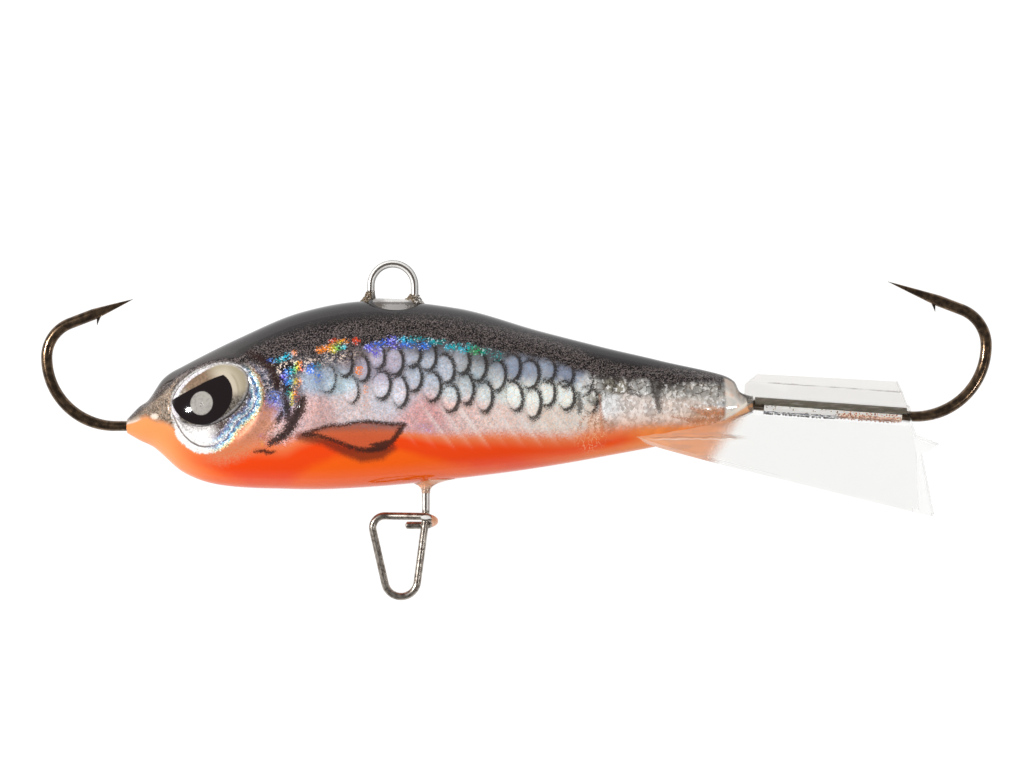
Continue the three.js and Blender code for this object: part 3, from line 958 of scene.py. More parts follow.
@dataclass(frozen=True)
class TailShank:
    """Where the tail hook's shank leaves the body, and its slope in degrees."""

    root: Pair = (49.92, 1.6)
    slope: float = -4.1

    def over(self, x: Value, y: Value) -> Value:
        """How far a place lies above the shank's middle."""
        return y - self.root[1] - (x - self.root[0]) * math.tan(math.radians(self.slope))


TAIL_SHANK = TailShank()


@dataclass(frozen=True)
class Collar:
    """Lacquer drawn up round a wire as it left the dipping bath."""

    x: float
    start: float
    end: float
    flare: float
    slim: float
    lip: float = 0.33

    def shell(self, steps: int = 26, sides: int = 40) -> Shape:
        """The collar's flared skin.

        Args:
            steps: Rings up its height.
            sides: Points round it.

        Returns:
            Its points and faces.
        """
        angles = np.linspace(0, 2 * np.pi, sides, endpoint=False)
        rings = []
        for t in np.linspace(0, 1, steps):
            radius = self.lip + (self.flare - self.lip) * (1 - t) ** 3
            height = self.start + (self.end - self.start) * t
            turn = angles if self.end > self.start else -angles
            depth = max(radius * self.slim, self.lip)
            rings.append(np.column_stack([
                self.x + radius * np.cos(turn), np.full(sides, height), -depth * np.sin(turn),
            ]))
        faces = tube_faces(steps, sides)
        return np.vstack(rings), [tuple(reversed(face)) for face in faces]


@dataclass(frozen=True)
class LacquerCollars:
    """The clear collars round the line eye's legs and the snap's stem."""

    collars: tuple[Collar, ...] = (
        Collar(x=19.43, start=9.35, end=10.75, flare=1.7, slim=0.7),
        Collar(x=22.93, start=9.2, end=10.4, flare=1.5, slim=0.7),
        Collar(x=23.83, start=-4.3, end=-5.45, flare=2.4, slim=0.5),
    )

    def dress(self, finish: bpy.types.Material) -> bpy.types.Object:
        """Adds all three as one piece.

        Args:
            finish: The clear lacquer.

        Returns:
            The object.
        """
        points, faces = np.empty((0, 3)), []
        for collar in self.collars:
            more, sides = collar.shell()
            faces += [tuple(corner + len(points) for corner in face) for face in sides]
            points = np.vstack([points, more])
        mesh = mesh_from("lacquer_collars", points, faces, finish)
        return Piece("lacquer_collars", mesh, "lacquered_body").register()


@dataclass
class MinnowBody:
    """The lead casting under foil, paint and lacquer."""

    length: float = 49.9
    back: tuple[Pair, ...] = (
        (0, 0.52), (0.9, 1.45), (1.7, 2.05), (2.9, 3.75), (4.4, 4.7), (9, 7), (13.8, 9), (19.3, 9.93),
        (26.6, 9.3), (33, 7.5), (42.6, 5.1), (47.4, 4), (48.5, 3.42), (48.9, 2.65), (49.9, 2.22),
    )
    belly: tuple[Pair, ...] = (
        (0, -0.68), (1, -1.25), (2.2, -1.85), (4.5, -3.8), (7.4, -4.8), (13, -5.12), (17, -5.1),
        (23.4, -4.6), (33, -3.4), (42.6, -1.6), (47.4, -0.3), (49, 0.55), (49.9, 0.98),
    )
    half_thickness: tuple[Pair, ...] = (
        (0, 0.6), (1, 1.15), (3, 2.05), (6, 2.9), (10, 3.6), (15, 4), (21, 4.1),
        (27, 3.85), (35, 2.95), (42, 2.15), (47, 1.4), (49.9, 0.63),
    )
    section_power: float = 2.2
    flat_spot_depth: float = 3.95
    stations: tuple[tuple[float, float, int], ...] = (
        (0, 3, 36), (3, 18, 118), (18, 25, 66), (25, 37, 84), (37, 48, 92), (48, 49.9, 22),
    )
    left_sides: int = 124
    right_sides: int = 78
    gill_centre: Pair = (9.9, 2.3)
    gill_radius: float = 4.1
    gill_depth: float = 0.25
    gill_fade: float = 1.6
    gill_reach: Pair = (-1.6, 5.2)
    pad_centre: float = 21.2
    pad_radius: float = 2.0
    pad_height: float = 0.2
    foil_start: float = 37.2
    foil_end: float = 47.65
    fold_seed: int = 5
    folds: int = 9
    artwork: FlankArtwork = field(default_factory=FlankArtwork)

    def middle_and_high(self, x: np.ndarray) -> tuple[np.ndarray, np.ndarray]:
        """The middle of the section's height, and half its height."""
        top, low = smooth_curve(self.back, x), smooth_curve(self.belly, x)
        return (top + low) / 2, (top - low) / 2

    def flank(self, x: float, y: float) -> float:
        """How far the plain flank stands from the middle plane.

        Args:
            x: Distance along the fish.
            y: Height.

        Returns:
            Millimetres.
        """
        middle, high = self.middle_and_high(np.array(x))
        share = max(1 - abs((y - middle) / high) ** self.section_power, 0)
        return float(smooth_curve(self.half_thickness, np.array(x)) * share ** (1 / self.section_power))

    def carving(self, x: np.ndarray, y: np.ndarray) -> np.ndarray:
        """The ring round the eye and the groove behind the gill cover.

        Args:
            x: Distances along the fish.
            y: Heights.

        Returns:
            Height over the plain flank.
        """
        away = from_oval(x, y, EYE_SEAT.ring_centre, EYE_SEAT.ring_halves, EYE_SEAT.tilt)
        ridge = EYE_SEAT.ring_height * np.exp(-(away / EYE_SEAT.ring_width) ** 2)
        low_left = soft_step(8.2 - x, 0, 1.2) * soft_step(1.2 - y, 0, 1.2)
        crease = EYE_SEAT.crease_depth * np.exp(-((away + 0.02) / 0.1) ** 2) * low_left
        inner = EYE_SEAT.lip_height * np.exp(-((away + 0.55) / 0.14) ** 2) * low_left
        behind = np.hypot(x - self.gill_centre[0], y - self.gill_centre[1]) - self.gill_radius
        low, high = self.gill_reach
        reach = soft_step(y, low - 1, low + 1) * (1 - soft_step(y, high - 1, high + 1))
        opening = np.where(x > self.gill_centre[0], soft_step(behind, 0, 0.35), 0)
        groove = opening * np.maximum(1 - behind / self.gill_fade, 0) * reach
        return ridge - crease + inner - self.gill_depth * groove

    def crumple(self, x: np.ndarray, y: np.ndarray) -> np.ndarray:
        """Foil pressed round the narrow tail in sharp little folds.

        Args:
            x: Distances along the fish.
            y: Heights.

        Returns:
            Height over the flank.
        """
        draws = np.random.default_rng(self.fold_seed)
        folds = np.zeros(x.shape)
        for _ in range(self.folds):
            turn = draws.uniform(0, np.pi)
            length = draws.uniform(0.9, 2.6)
            phase = draws.uniform(0, 6.3)
            bent = np.sin(y * draws.uniform(1, 2) + x * draws.uniform(0.5, 1.5)) * 0.35
            across = x * np.cos(turn) + y * np.sin(turn) + bent
            folds += np.abs(np.sin(across * np.pi / length + phase)) / self.folds
        top = smooth_curve(self.artwork.back_edge, x)
        inside = soft_step(x, self.foil_start - 1.5, self.foil_start + 1.5)
        inside *= 1 - soft_step(x, self.foil_end - 0.1, self.foil_end)
        under = 1 - soft_step(y, top - 0.12, top)
        return inside * under * (0.22 * (folds - 0.6) + 0.05)

    def skin(self) -> Shape:
        """The casting's skin with its carving, foil and lacquer.

        Returns:
            Points and faces.
        """
        steps = [np.linspace(a, b, n, endpoint=False) for a, b, n in self.stations]
        xs = np.append(np.concatenate(steps), self.length)
        angles = self.even_angles()
        x, angle = (grid.ravel() for grid in np.meshgrid(xs, angles, indexing="ij"))
        middle, high = self.middle_and_high(x)
        wide = smooth_curve(self.half_thickness, x)
        close = 0.05 * soft_step(x, 38, 42)
        power = 2 / self.section_power
        y = middle + (high + close) * np.sign(np.sin(angle)) * np.abs(np.sin(angle)) ** power
        z = (wide + close) * np.sign(np.cos(angle)) * np.abs(np.cos(angle)) ** power
        lift = self.carving(x, y) + self.crumple(x, y) + 0.035 * self.artwork.rib_field(x, y)
        z = z + lift * np.cos(angle)
        y = y + self.pad(x, z, y)
        z = np.maximum(z, -self.flat_spot_depth)
        return np.column_stack([x, y, z]), tube_faces(len(xs), len(angles))

    def even_angles(self) -> np.ndarray:
        """Angles that divide a typical section evenly, finer on the flank that faces up.

        Returns:
            Angles from the belly up the left flank and down the right.
        """
        fine = np.linspace(-np.pi / 2, np.pi / 2, 2000)
        power = 2 / self.section_power
        side = 4 * np.abs(np.cos(fine)) ** power
        rise = 7 * np.sign(np.sin(fine)) * np.abs(np.sin(fine)) ** power
        travelled = np.append(0, np.cumsum(np.hypot(np.diff(side), np.diff(rise))))
        travelled /= travelled[-1]
        left = np.interp(np.linspace(0, 1, self.left_sides, endpoint=False), travelled, fine)
        right = np.interp(np.linspace(0, 1, self.right_sides, endpoint=False), travelled, fine)
        return np.append(left, right + np.pi)

    def pad(self, x: np.ndarray, z: np.ndarray, y: np.ndarray) -> np.ndarray:
        """The lens of lacquer on the back between the legs of the line eye.

        Args:
            x: Distances along the fish.
            z: Distances from the middle plane.
            y: Heights.

        Returns:
            How much higher the skin stands.
        """
        away = np.hypot((x - self.pad_centre) * 0.95, z) - self.pad_radius
        lens = self.pad_height * (1 - soft_step(away, -0.3, 0.05))
        crease = -0.05 * np.exp(-((away - 0.08) / 0.09) ** 2)
        return np.where(y > 4, lens + crease, 0)

    def build(self, finish: bpy.types.Material) -> bpy.types.Mesh:
        """Makes the body's mesh and stores what its finish reads.

        Args:
            finish: The lacquered foil.

        Returns:
            The mesh.
        """
        points, faces = self.skin()
        mesh = mesh_from("minnow", points, faces, finish)
        x, y = points[:, 0], points[:, 1]
        for name, values in (self.artwork.fields(x, y) | self.ring_fields(x, y)).items():
            store(mesh, name, values)
        return mesh

    def ring_fields(self, x: np.ndarray, y: np.ndarray) -> dict[str, np.ndarray]:
        """Where points lie in the pressed ring round the eye.

        Args:
            x: Distances along the fish.
            y: Heights.

        Returns:
            Values by attribute name.
        """
        seat = EYE_SEAT
        ring = from_oval(x, y, seat.ring_centre, seat.ring_halves, seat.tilt)
        eye = from_oval(x, y, (seat.x, seat.y), (seat.long, seat.short), seat.tilt)
        dx, dy = x - seat.ring_centre[0], y - seat.ring_centre[1]
        away = np.hypot(dx, dy) + 1e-6
        turn = np.degrees(np.arctan2(dy, dx))
        pulled = sum(
            reach * np.exp(-((turn - bearing) / over) ** 2) for reach, bearing, over in seat.drawn_in
        )
        return {
            "from_ring": np.clip(ring + pulled, -3, 3),
            "from_cheek": np.clip(ring, -3, 3),
            "from_eye": np.clip(eye, -3, 3),
            "ring_rear": soft_step((dx * 0.92 - dy * 0.39) / away, 0.1, 0.6),
            "ring_low": soft_step((-dx * 0.62 - dy * 0.78) / away, 0.35, 0.75),
        }

    def dress(self, finish: bpy.types.Material) -> bpy.types.Object:
        """Adds the body to the scene."""
        return Piece("lacquered_minnow", self.build(finish), "lacquered_body", ("minnow_body",)).register()


@dataclass(frozen=True)
class FoilPlace:
    """What the layers of the lacquered foil read at each place."""

    shader: Shader
    place: Value
    x: Value
    y: Value
    z: Value
    flake: Value
    hue: Value
    lean: Value
    clump: Value
    sparkle: Value
    cloud: Value
    grain: Value

    @classmethod
    def read(cls, shader: Shader, flakes_per_mm: float) -> "FoilPlace":
        """Sets up the readings.

        Args:
            shader: The finish's tree.
            flakes_per_mm: Flakes of foil to the millimetre.

        Returns:
            The readings.
        """
        place = shader.place()
        flake, hue, lean = shader.cells(place, flakes_per_mm)
        clump, _, _ = shader.cells(place, flakes_per_mm / 2.4)
        cloud, grain = shader.noise(place, 0.9, 3), shader.noise(place, 9, 3)
        sparkle = flake * 0.65 + clump * 0.35
        return cls(shader, place, *shader.split(place), flake, hue, lean, clump, sparkle, cloud, grain)


@dataclass(frozen=True)
class LacqueredFoil:
    """Glitter foil under sprayed paint and a thick clear lacquer, with painted light: rainbow reflections,
    highlights, sheen and shade.
    """

    flakes_per_mm: float = 11.0
    cool_flake: Colour = srgb(236, 246, 255)
    warm_flake: Colour = srgb(255, 240, 232)
    # Painted highlight and painted fold shade on crumpled foil in the rear scales.
    scale_highlight: Colour = srgb(255, 255, 252)
    scale_fold_shade: Colour = srgb(120, 122, 118)
    scale_shade: Colour = srgb(72, 66, 58)
    outline: Colour = srgb(42, 36, 34)
    # Painted highlight along the rib crests.
    rib_highlight: Colour = srgb(255, 250, 246)
    # Painted shade in the creases, and the painted highlight on crumpled foil.
    crease_shade_black: Colour = srgb(58, 52, 48)
    crease_shade_brown: Colour = srgb(112, 96, 80)
    pleat_shade: Colour = srgb(150, 116, 92)
    foil_highlight: Colour = srgb(255, 252, 250)
    crumple_orange: Colour = srgb(244, 168, 118)
    fold_orange: Colour = srgb(214, 124, 70)
    fold_brown: Colour = srgb(170, 116, 86)
    mark_black: Colour = srgb(58, 50, 46)
    scratch_orange: Colour = srgb(255, 196, 148)
    scratch_pale: Colour = srgb(255, 226, 206)
    dust_black: Colour = srgb(34, 29, 29)
    dust_rose: Colour = srgb(196, 166, 150)
    dust_blue: Colour = srgb(126, 130, 150)
    dust_spark: Colour = srgb(255, 232, 214)
    glint_white: Colour = srgb(240, 244, 250)
    back_black: Colour = srgb(16, 13, 14)
    back_flake: Colour = srgb(122, 110, 108)
    # Painted sheen where the black is thinner, lighter on the head.
    back_sheen: Colour = srgb(34, 30, 31)
    head_sheen: Colour = srgb(70, 66, 64)
    snout: Colour = srgb(104, 88, 74)
    # The pale of the nose tip, also the colour of the painted highlight on the snout.
    cream: Colour = srgb(252, 236, 220)
    orange_deep: Colour = srgb(246, 70, 0)
    orange_low: Colour = srgb(255, 98, 0)
    orange_thin: Colour = srgb(238, 122, 70)
    orange_nose: Colour = srgb(240, 152, 90)
    orange_rear: Colour = srgb(255, 134, 40)
    orange_tail: Colour = srgb(255, 152, 74)
    # Painted highlight along the rib crests in the orange.
    orange_rib_highlight: Colour = srgb(250, 196, 168)
    ring_dark: Colour = srgb(46, 40, 38)
    ring_dull: Colour = srgb(146, 134, 128)
    # Painted shade beside the eye and in the ring's crease.
    ring_shade: Colour = srgb(96, 88, 84)
    ring_crease_shade: Colour = srgb(84, 66, 58)
    ring_edge: Colour = srgb(66, 58, 54)
    ring_white: Colour = srgb(252, 250, 248)
    ring_spark: Colour = srgb(244, 246, 250)
    # Painted rainbow reflections round the ring.
    ring_rainbow: tuple[tuple[float, Colour], ...] = (
        (0.04, srgb(108, 100, 98)), (0.14, srgb(150, 144, 166)), (0.26, srgb(118, 146, 196)),
        (0.37, srgb(146, 200, 218)), (0.45, srgb(250, 250, 250)), (0.53, srgb(104, 108, 146)),
        (0.62, srgb(104, 160, 212)), (0.71, srgb(160, 218, 226)), (0.79, srgb(246, 238, 196)),
        (0.87, srgb(238, 186, 130)), (0.97, srgb(226, 140, 96)),
    )
    cheek: Colour = srgb(220, 146, 108)
    cheek_low: Colour = srgb(226, 128, 84)
    drawn_brown: Colour = srgb(54, 26, 18)
    gill_black: Colour = srgb(44, 26, 22)
    pectoral_orange: Colour = srgb(204, 94, 56)
    pectoral_grey: Colour = srgb(136, 82, 68)
    pectoral_fleck: Colour = srgb(150, 70, 46)
    pectoral_shade: Colour = srgb(100, 34, 18)
    cone: Colour = srgb(254, 240, 228)
    cone_grey: Colour = srgb(226, 222, 214)
    cone_streak: Colour = srgb(236, 178, 140)
    cone_top: Colour = srgb(176, 170, 162)
    cone_ridge: Colour = srgb(52, 44, 42)
    cone_strip: Colour = srgb(255, 244, 228)
    cone_orange: Colour = srgb(250, 186, 134)
    pad_grey: Colour = srgb(164, 160, 157)
    pad_brown: Colour = srgb(66, 54, 44)
    pad_line: Colour = srgb(84, 78, 74)
    pad_sheen: Colour = srgb(222, 218, 214)
    # Painted shade in the crease round the pad.
    pad_crease_shade: Colour = srgb(26, 22, 22)

    def material(self) -> bpy.types.Material:
        """Builds the finish, layer over layer.

        Returns:
            The material.
        """
        shader = Shader("lacquered_foil")
        at = FoilPlace.read(shader, self.flakes_per_mm)
        colour = shader.layer(at.x.soft(36.0, 37.2), self.bare_foil(at), self.crumpled(at))
        for lay in (self.foil_marks, self.dusted, self.painted_back, self.glowing):
            colour = lay(at, colour)
        belly = self.belly_cover(at)
        colour = shader.layer(belly, colour, self.belly_orange(at))
        for lay in (self.ruddy_cheek, self.ring_foil, self.scratched, self.drawn_marks):
            colour = lay(at, colour)
        cone = at.x.soft(47.5, 47.75)
        colour = self.lacquer_pad(at, shader.layer(cone, colour, self.tail_cone(at)))

        back = shader.attribute("back_paint")
        bare = (1 - back.soft(-1, 0).most(belly)) * (1 - cone)
        rippled = at.lean * (1 - back.soft(0.1, 0.6) * 0.9)
        return shader.finish(shader.surface(
            Base_Color=colour,
            Metallic=bare * 0.12,
            Roughness=0.5 - bare * 0.12,
            Normal=shader.bump(rippled, 0.012, 0.35),
            Coat_Weight=1.0,
            Coat_Roughness=0.03,
            Specular_IOR_Level=0.0,
        ))

    def bare_foil(self, at: FoilPlace) -> Value:
        """The glitter foil itself, with its scales picked out, and painted highlights and painted fold shade
        on crumpled foil in the rear scales.

        Args:
            at: The readings.

        Returns:
            The colour.
        """
        shader, layer, x = at.shader, at.shader.layer, at.x
        tone, _ = shader.colour_attribute("tone")
        depth = shader.attribute("scale_cell")
        inside = depth.soft(-0.02, 0.05)
        bent = shader.warped(at.place, 1.6, 0.3)
        facet, _, _ = shader.cells(bent, 2.2)
        # Painted highlights on crumpled facets in the lower rear scales, and painted shade along their folds.
        highlight_white = inside * x.soft(28.0, 31.0) * (1 - at.y.soft(3.3, 4.1)) * (facet - 0.5).soft(0.0, 0.35)
        fold = inside * x.soft(26.0, 30.0) * (1 - shader.seams(bent, 2.2).soft(0.0, 0.08))
        lit = 1.08 + depth.soft(0.0, 0.5) * 0.14
        contrast = 0.72 + (1 - x.soft(12.8, 15.0)) * 1.3 - x.soft(27.0, 32.0) * 0.3
        level = (1.04 + (at.sparkle - 0.5) * contrast).most(0.1) * (1 - inside + lit * inside)
        foil = shader.dimmed(tone, level)
        foil = layer(fold * (at.sparkle - 0.3).soft(0.0, 0.4) * 0.5, foil, self.scale_fold_shade)
        foil = layer(highlight_white * 0.6, foil, self.scale_highlight)
        tint = layer(at.hue.soft(0.3, 0.7), self.cool_flake, self.warm_flake)
        return layer(0.8, foil, tint, "MULTIPLY")

    def crumpled(self, at: FoilPlace) -> Value:
        """Silver foil folded small, painted as lit: facets lighter and darker, painted brown and black shade
        in its creases, and painted highlights on its folds.

        Args:
            at: The readings.

        Returns:
            The colour.
        """
        shader, layer = at.shader, at.shader.layer
        cells, _ = shader.colour_attribute("cells")
        upper = (at.y - 2.2).soft(-0.4, 0.4)
        lower = 1 - upper
        bent = shader.warped(shader.warped(at.place, 1.2, 0.45), 4.5, 0.1)
        tall = shader.stretched(bent, (1.7, 0.6, 1.0))
        facet, facet_hue, _ = shader.cells(bent, 1.5)
        pleat, _, _ = shader.cells(tall, 1.8)
        fold = 1 - shader.seams(bent, 1.5).soft(0.0, 0.13)
        crease = 1 - shader.seams(tall, 1.8).soft(0.0, 0.07)
        fast = shader.noise(at.place, 3.2, 4)
        # Painted light: each facet lighter or darker.
        level = 0.5 + facet * upper * 0.8 + (pleat * 0.5 + 0.2) * lower
        level = level + (fast - 0.5) * 0.9 + (at.flake - 0.5) * 0.14
        # Painted shade in the creases and pleats, brown and black.
        dark = layer(facet_hue.soft(0.4, 0.6), self.crease_shade_black, self.crease_shade_brown)
        silver = layer(fold * upper * (fast - 0.3).soft(0.0, 0.25), shader.dimmed(cells, level), dark)
        silver = layer(crease * lower * 0.45, silver, self.pleat_shade)
        # Painted highlights on the folds.
        silver = layer((fast - 0.55).soft(0.0, 0.06) * (0.35 + facet * 0.6), silver, self.foil_highlight)
        low = 1 - (at.y - 0.3).soft(-0.5, 1.0)
        return layer(low * (0.15 + fast * 0.7), silver, self.crumple_orange)

    def foil_marks(self, at: FoilPlace, under: Value) -> Value:
        """Folds and dark marks at the tail, a painted highlight along the crests of the flank's ribs, and the
        crescents behind the scales.

        Args:
            at: The readings.
            under: The colour below them.

        Returns:
            The colour.
        """
        layer, stored = at.shader.layer, at.shader.attribute
        folds = stored("tail_folds") + (at.grain - 0.5) * 0.9
        folded = layer((at.grain - 0.4).soft(0.0, 0.2), self.fold_orange, self.fold_brown)
        foil = layer(folds.soft(-0.12, 0.1) * 0.7, under, folded)
        marks = stored("tail_marks") + (at.grain - 0.5) * 0.7
        foil = layer(marks.soft(-0.15, 0.12) * 0.8, foil, self.mark_black)
        # Painted highlight along the rib crests.
        foil = layer((stored("ribs") * (0.6 + at.flake * 0.4)).least(1.0), foil, self.rib_highlight)
        hair = at.shader.noise(at.place, 12, 3)
        shadow = stored("scale_shadow") + (hair - 0.5) * 0.8 + (at.flake - 0.5) * 0.16
        foil = layer(shadow.soft(-0.35, -0.02) * 0.4, foil, self.scale_shade)
        return layer(shadow.soft(-0.09, 0.05) * 0.9, foil, self.outline)

    def dusted(self, at: FoilPlace, under: Value) -> Value:
        """Black dust behind the eye, with flakes of foil that still show.

        Args:
            at: The readings.
            under: The colour below it.

        Returns:
            The colour.
        """
        layer = at.shader.layer
        dust = (at.shader.attribute("dust") * 1.25).least(1.0)
        tint = layer(at.hue.soft(0.4, 0.6), self.dust_rose, self.dust_blue)
        flakes = layer((at.sparkle - 0.2 - dust * 0.34).soft(0.0, 0.3), self.dust_black, tint)
        flakes = layer((at.sparkle - 0.7).soft(0.0, 0.07), flakes, self.dust_spark)
        return layer(dust, under, flakes)

    def painted_back(self, at: FoilPlace, under: Value) -> Value:
        """Black sprayed along the back, thinning out into flakes below, with a painted sheen, lighter on the
        head, where it is thinner; the worn tip of the snout; and a painted highlight on the snout.

        Args:
            at: The readings.
            under: The colour below it.

        Returns:
            The colour.
        """
        layer, x, y = at.shader.layer, at.x, at.y
        dot, _, _ = at.shader.cells(at.place, self.flakes_per_mm * 1.35)
        back = at.shader.attribute("back_paint")
        cover = (back + (at.cloud - 0.5) * 0.35).soft(-1.05, -0.1)
        thick = (back + (at.cloud - 0.5) * 0.2).soft(0.15, 0.7)
        # Painted sheen, lighter on the head, where the black is thinner.
        sheen = layer(x.soft(5.0, 12.0), self.head_sheen, self.back_sheen)
        shows = (dot - 0.3 - thick * 0.2).soft(0.0, 0.75) * (1 - thick * 0.9)
        speckle = layer(shows, layer(thick, self.back_black, sheen), self.back_flake)
        spray = (cover * 1.5 + (at.sparkle - 0.5) * -0.7 * (1 - cover)).most(0.0).least(1.0)
        colour = layer(spray * cover.soft(0.0, 0.25), under, speckle)
        snout = (1 - x.soft(2.0, 4.4)) * (1 - (y - x * 0.9).soft(-0.3, 0.8)) * at.grain.soft(0.3, 0.6)
        colour = layer(snout * 0.7, colour, self.snout)
        # Painted highlight: a soft pale spot on the snout.
        painted_highlight = 1 - (in_oval(x, y, (2.45, 0.7), (0.4, 0.3)) + (at.grain - 0.5)).soft(0.1, 1.2)
        return layer(painted_highlight * 0.7, colour, self.cream)

    def glowing(self, at: FoilPlace, under: Value) -> Value:
        """Painted rainbow reflections that the foil throws back.

        Args:
            at: The readings.
            under: The colour below it.

        Returns:
            The colour.
        """
        glow, share = at.shader.colour_attribute("glow")
        level = (0.06 + at.flake * 1.1 + at.clump * 0.3) * (0.5 + share * 0.65)
        highlight_white = (at.flake - 0.86).soft(0.0, 0.1) * 0.55
        lit = at.shader.layer(highlight_white, at.shader.dimmed(glow, level), self.glint_white)
        ragged = (at.flake - 0.55) * 1.7 + (at.clump - 0.5) * 0.5
        shown = (share * 1.1 + ragged * share.soft(0.03, 0.3)).soft(0.15, 0.75)
        return at.shader.layer(shown * 0.95, under, lit)

    @staticmethod
    def belly_cover(at: FoilPlace) -> Value:
        """How much of the belly's orange covers, broken up by flakes at its upper edge.

        Args:
            at: The readings.

        Returns:
            A share from 0 to 1.
        """
        belly = at.shader.attribute("belly_paint")
        cover = (belly + (at.grain - 0.5) * 0.5).soft(-0.9, 0.5)
        return cover * (1 - (1 - belly.soft(-0.6, 0.9)) * at.flake * 0.75)

    def belly_orange(self, at: FoilPlace) -> Value:
        """The orange sprayed along the belly, with a pale painted highlight along the rib crests.

        Args:
            at: The readings.

        Returns:
            The colour.
        """
        layer, x = at.shader.layer, at.x
        belly = at.shader.attribute("belly_paint")
        orange = layer(belly.soft(0.3, 1.9), self.orange_thin, self.orange_deep)
        orange = layer((belly + (at.cloud - 0.5)).soft(3.0, 5.0), orange, self.orange_low)
        orange = layer(1 - x.soft(2.6, 8.6), orange, self.orange_nose)
        orange = layer(x.soft(30.0, 38.0) * belly.soft(1.3, 2.8) * 0.85, orange, self.orange_rear)
        orange = layer(x.soft(39.0, 42.0) * 0.8, orange, self.orange_tail)
        tip = (1 - (x + (at.grain - 0.5)).soft(0.9, 1.5)) * (1 - belly.soft(0.15, 0.5))
        orange = layer(tip * 0.85, orange, self.cream)
        # Painted highlight: pale along the rib crests in the orange.
        pale = at.shader.attribute("ribs") * (1 - belly.soft(0.4, 3.2)) * 0.7
        return layer(pale, orange, self.orange_rib_highlight)

    @staticmethod
    def roughened(at: FoilPlace) -> Value:
        """How far the ring's borders wander with the foil's grain."""
        return (at.grain - 0.5) * 0.4 + (at.clump - 0.5) * 0.25

    def ruddy_cheek(self, at: FoilPlace, under: Value) -> Value:
        """Thin orange on the cheek, outside the ring round the eye.

        Args:
            at: The readings.
            under: The colour below it.

        Returns:
            The colour.
        """
        near = 1 - (at.shader.attribute("from_cheek") + self.roughened(at)).soft(0.6, 1.8)
        cheek = at.x.soft(5.6, 8.0) * (1 - at.y.soft(0.9, 2.2)) * near
        low = at.grain.soft(0.4, 0.6) * (1 - at.y.soft(-1.6, 0.0))
        ruddy = at.shader.layer(low, self.cheek, self.cheek_low)
        return at.shader.layer(cheek * (0.66 + at.flake * 0.24), under, ruddy)

    def ring_foil(self, at: FoilPlace, under: Value) -> Value:
        """The bright pressed ring round the eye: painted rainbow reflections to the rear, a painted white
        highlight below with painted shade beside the eye and in the crease, dull in front.

        Args:
            at: The readings.
            under: The colour below it.

        Returns:
            The colour.
        """
        shader, layer, stored = at.shader, at.shader.layer, at.shader.attribute
        away, eye, rear, low = (stored(name) for name in ("from_ring", "from_eye", "ring_rear", "ring_low"))
        rough = self.roughened(at)
        share = ((away + 1.35 + rough) / 1.75).most(0.0).least(1.0)
        level = (0.12 + at.flake * 0.85 + at.clump * 0.3) * (1.5 - at.y.soft(-1.8, 1.8) * 0.76)
        # Painted rainbow reflections to the rear.
        rainbow = shader.dimmed(shader.ramp(share, self.ring_rainbow), level)
        rainbow = layer((at.flake - 0.84).soft(0.0, 0.1) * 0.7, rainbow, self.ring_spark)
        # Painted white highlight on the ring's lower side, painted shade beside the eye and in the crease.
        fold = away + 0.36 + rough * 0.15
        crease = fold.soft(-0.1, 0.0) * (1 - fold.soft(0.02, 0.12))
        highlight_white = (at.flake * 0.5 + 0.75 - (1 - (eye + rough * 0.6).soft(0.1, 0.7)) * 0.5).least(1.0)
        pale = layer(crease * 0.9, layer(highlight_white, self.ring_shade, self.foil_highlight), self.ring_crease_shade)
        dull = layer(at.flake, self.ring_dark, self.ring_dull)
        ring = layer(rear, layer(low, dull, pale), rainbow)
        lash = eye.soft(-0.1, 0.02) * (1 - (eye + rough * 0.2).soft(0.08, 0.2)) * (1 - low)
        ring = layer(lash * (0.25 + at.flake * 0.45) * (1 - rear * 0.7), ring, self.ring_white)
        edge = (1 - (eye + rough * 0.6).soft(0.05, 0.4)) * rear
        ring = layer(edge * (0.85 - at.flake * 0.5), ring, self.ring_edge)
        tip = (1 - at.x.soft(3.4, 5.6)) * at.y.soft(-1.4, 0.4)
        outside = (away + rough * 0.5 + tip * 0.48).soft(0.16, 0.34)
        clear = (1 - outside) * (1 - stored("back_paint").soft(-1.2, -0.1) * (1 - lash))
        return layer(clear * 0.95, under, ring)

    def scratched(self, at: FoilPlace, under: Value) -> Value:
        """Fine pale scratches where the crumpled foil starts.

        Args:
            at: The readings.
            under: The colour below them.

        Returns:
            The colour.
        """
        shader = at.shader
        patch = 1 - (in_oval(at.x, at.y, (36.9, -0.5), (1.5, 1.9)) + (at.grain - 0.5) * 2).soft(0.4, 1.2)
        bent = shader.warped(shader.stretched(at.place, (1.5, 0.7, 1.0)), 2.0, 0.4)
        lines = (1 - shader.seams(bent, 1.7).soft(0.0, 0.07)) * (at.grain - 0.36).soft(0.0, 0.2)
        pale = shader.layer(at.y.soft(-1.0, 1.0), self.scratch_orange, self.scratch_pale)
        return shader.layer(patch * lines * 0.8, under, pale)

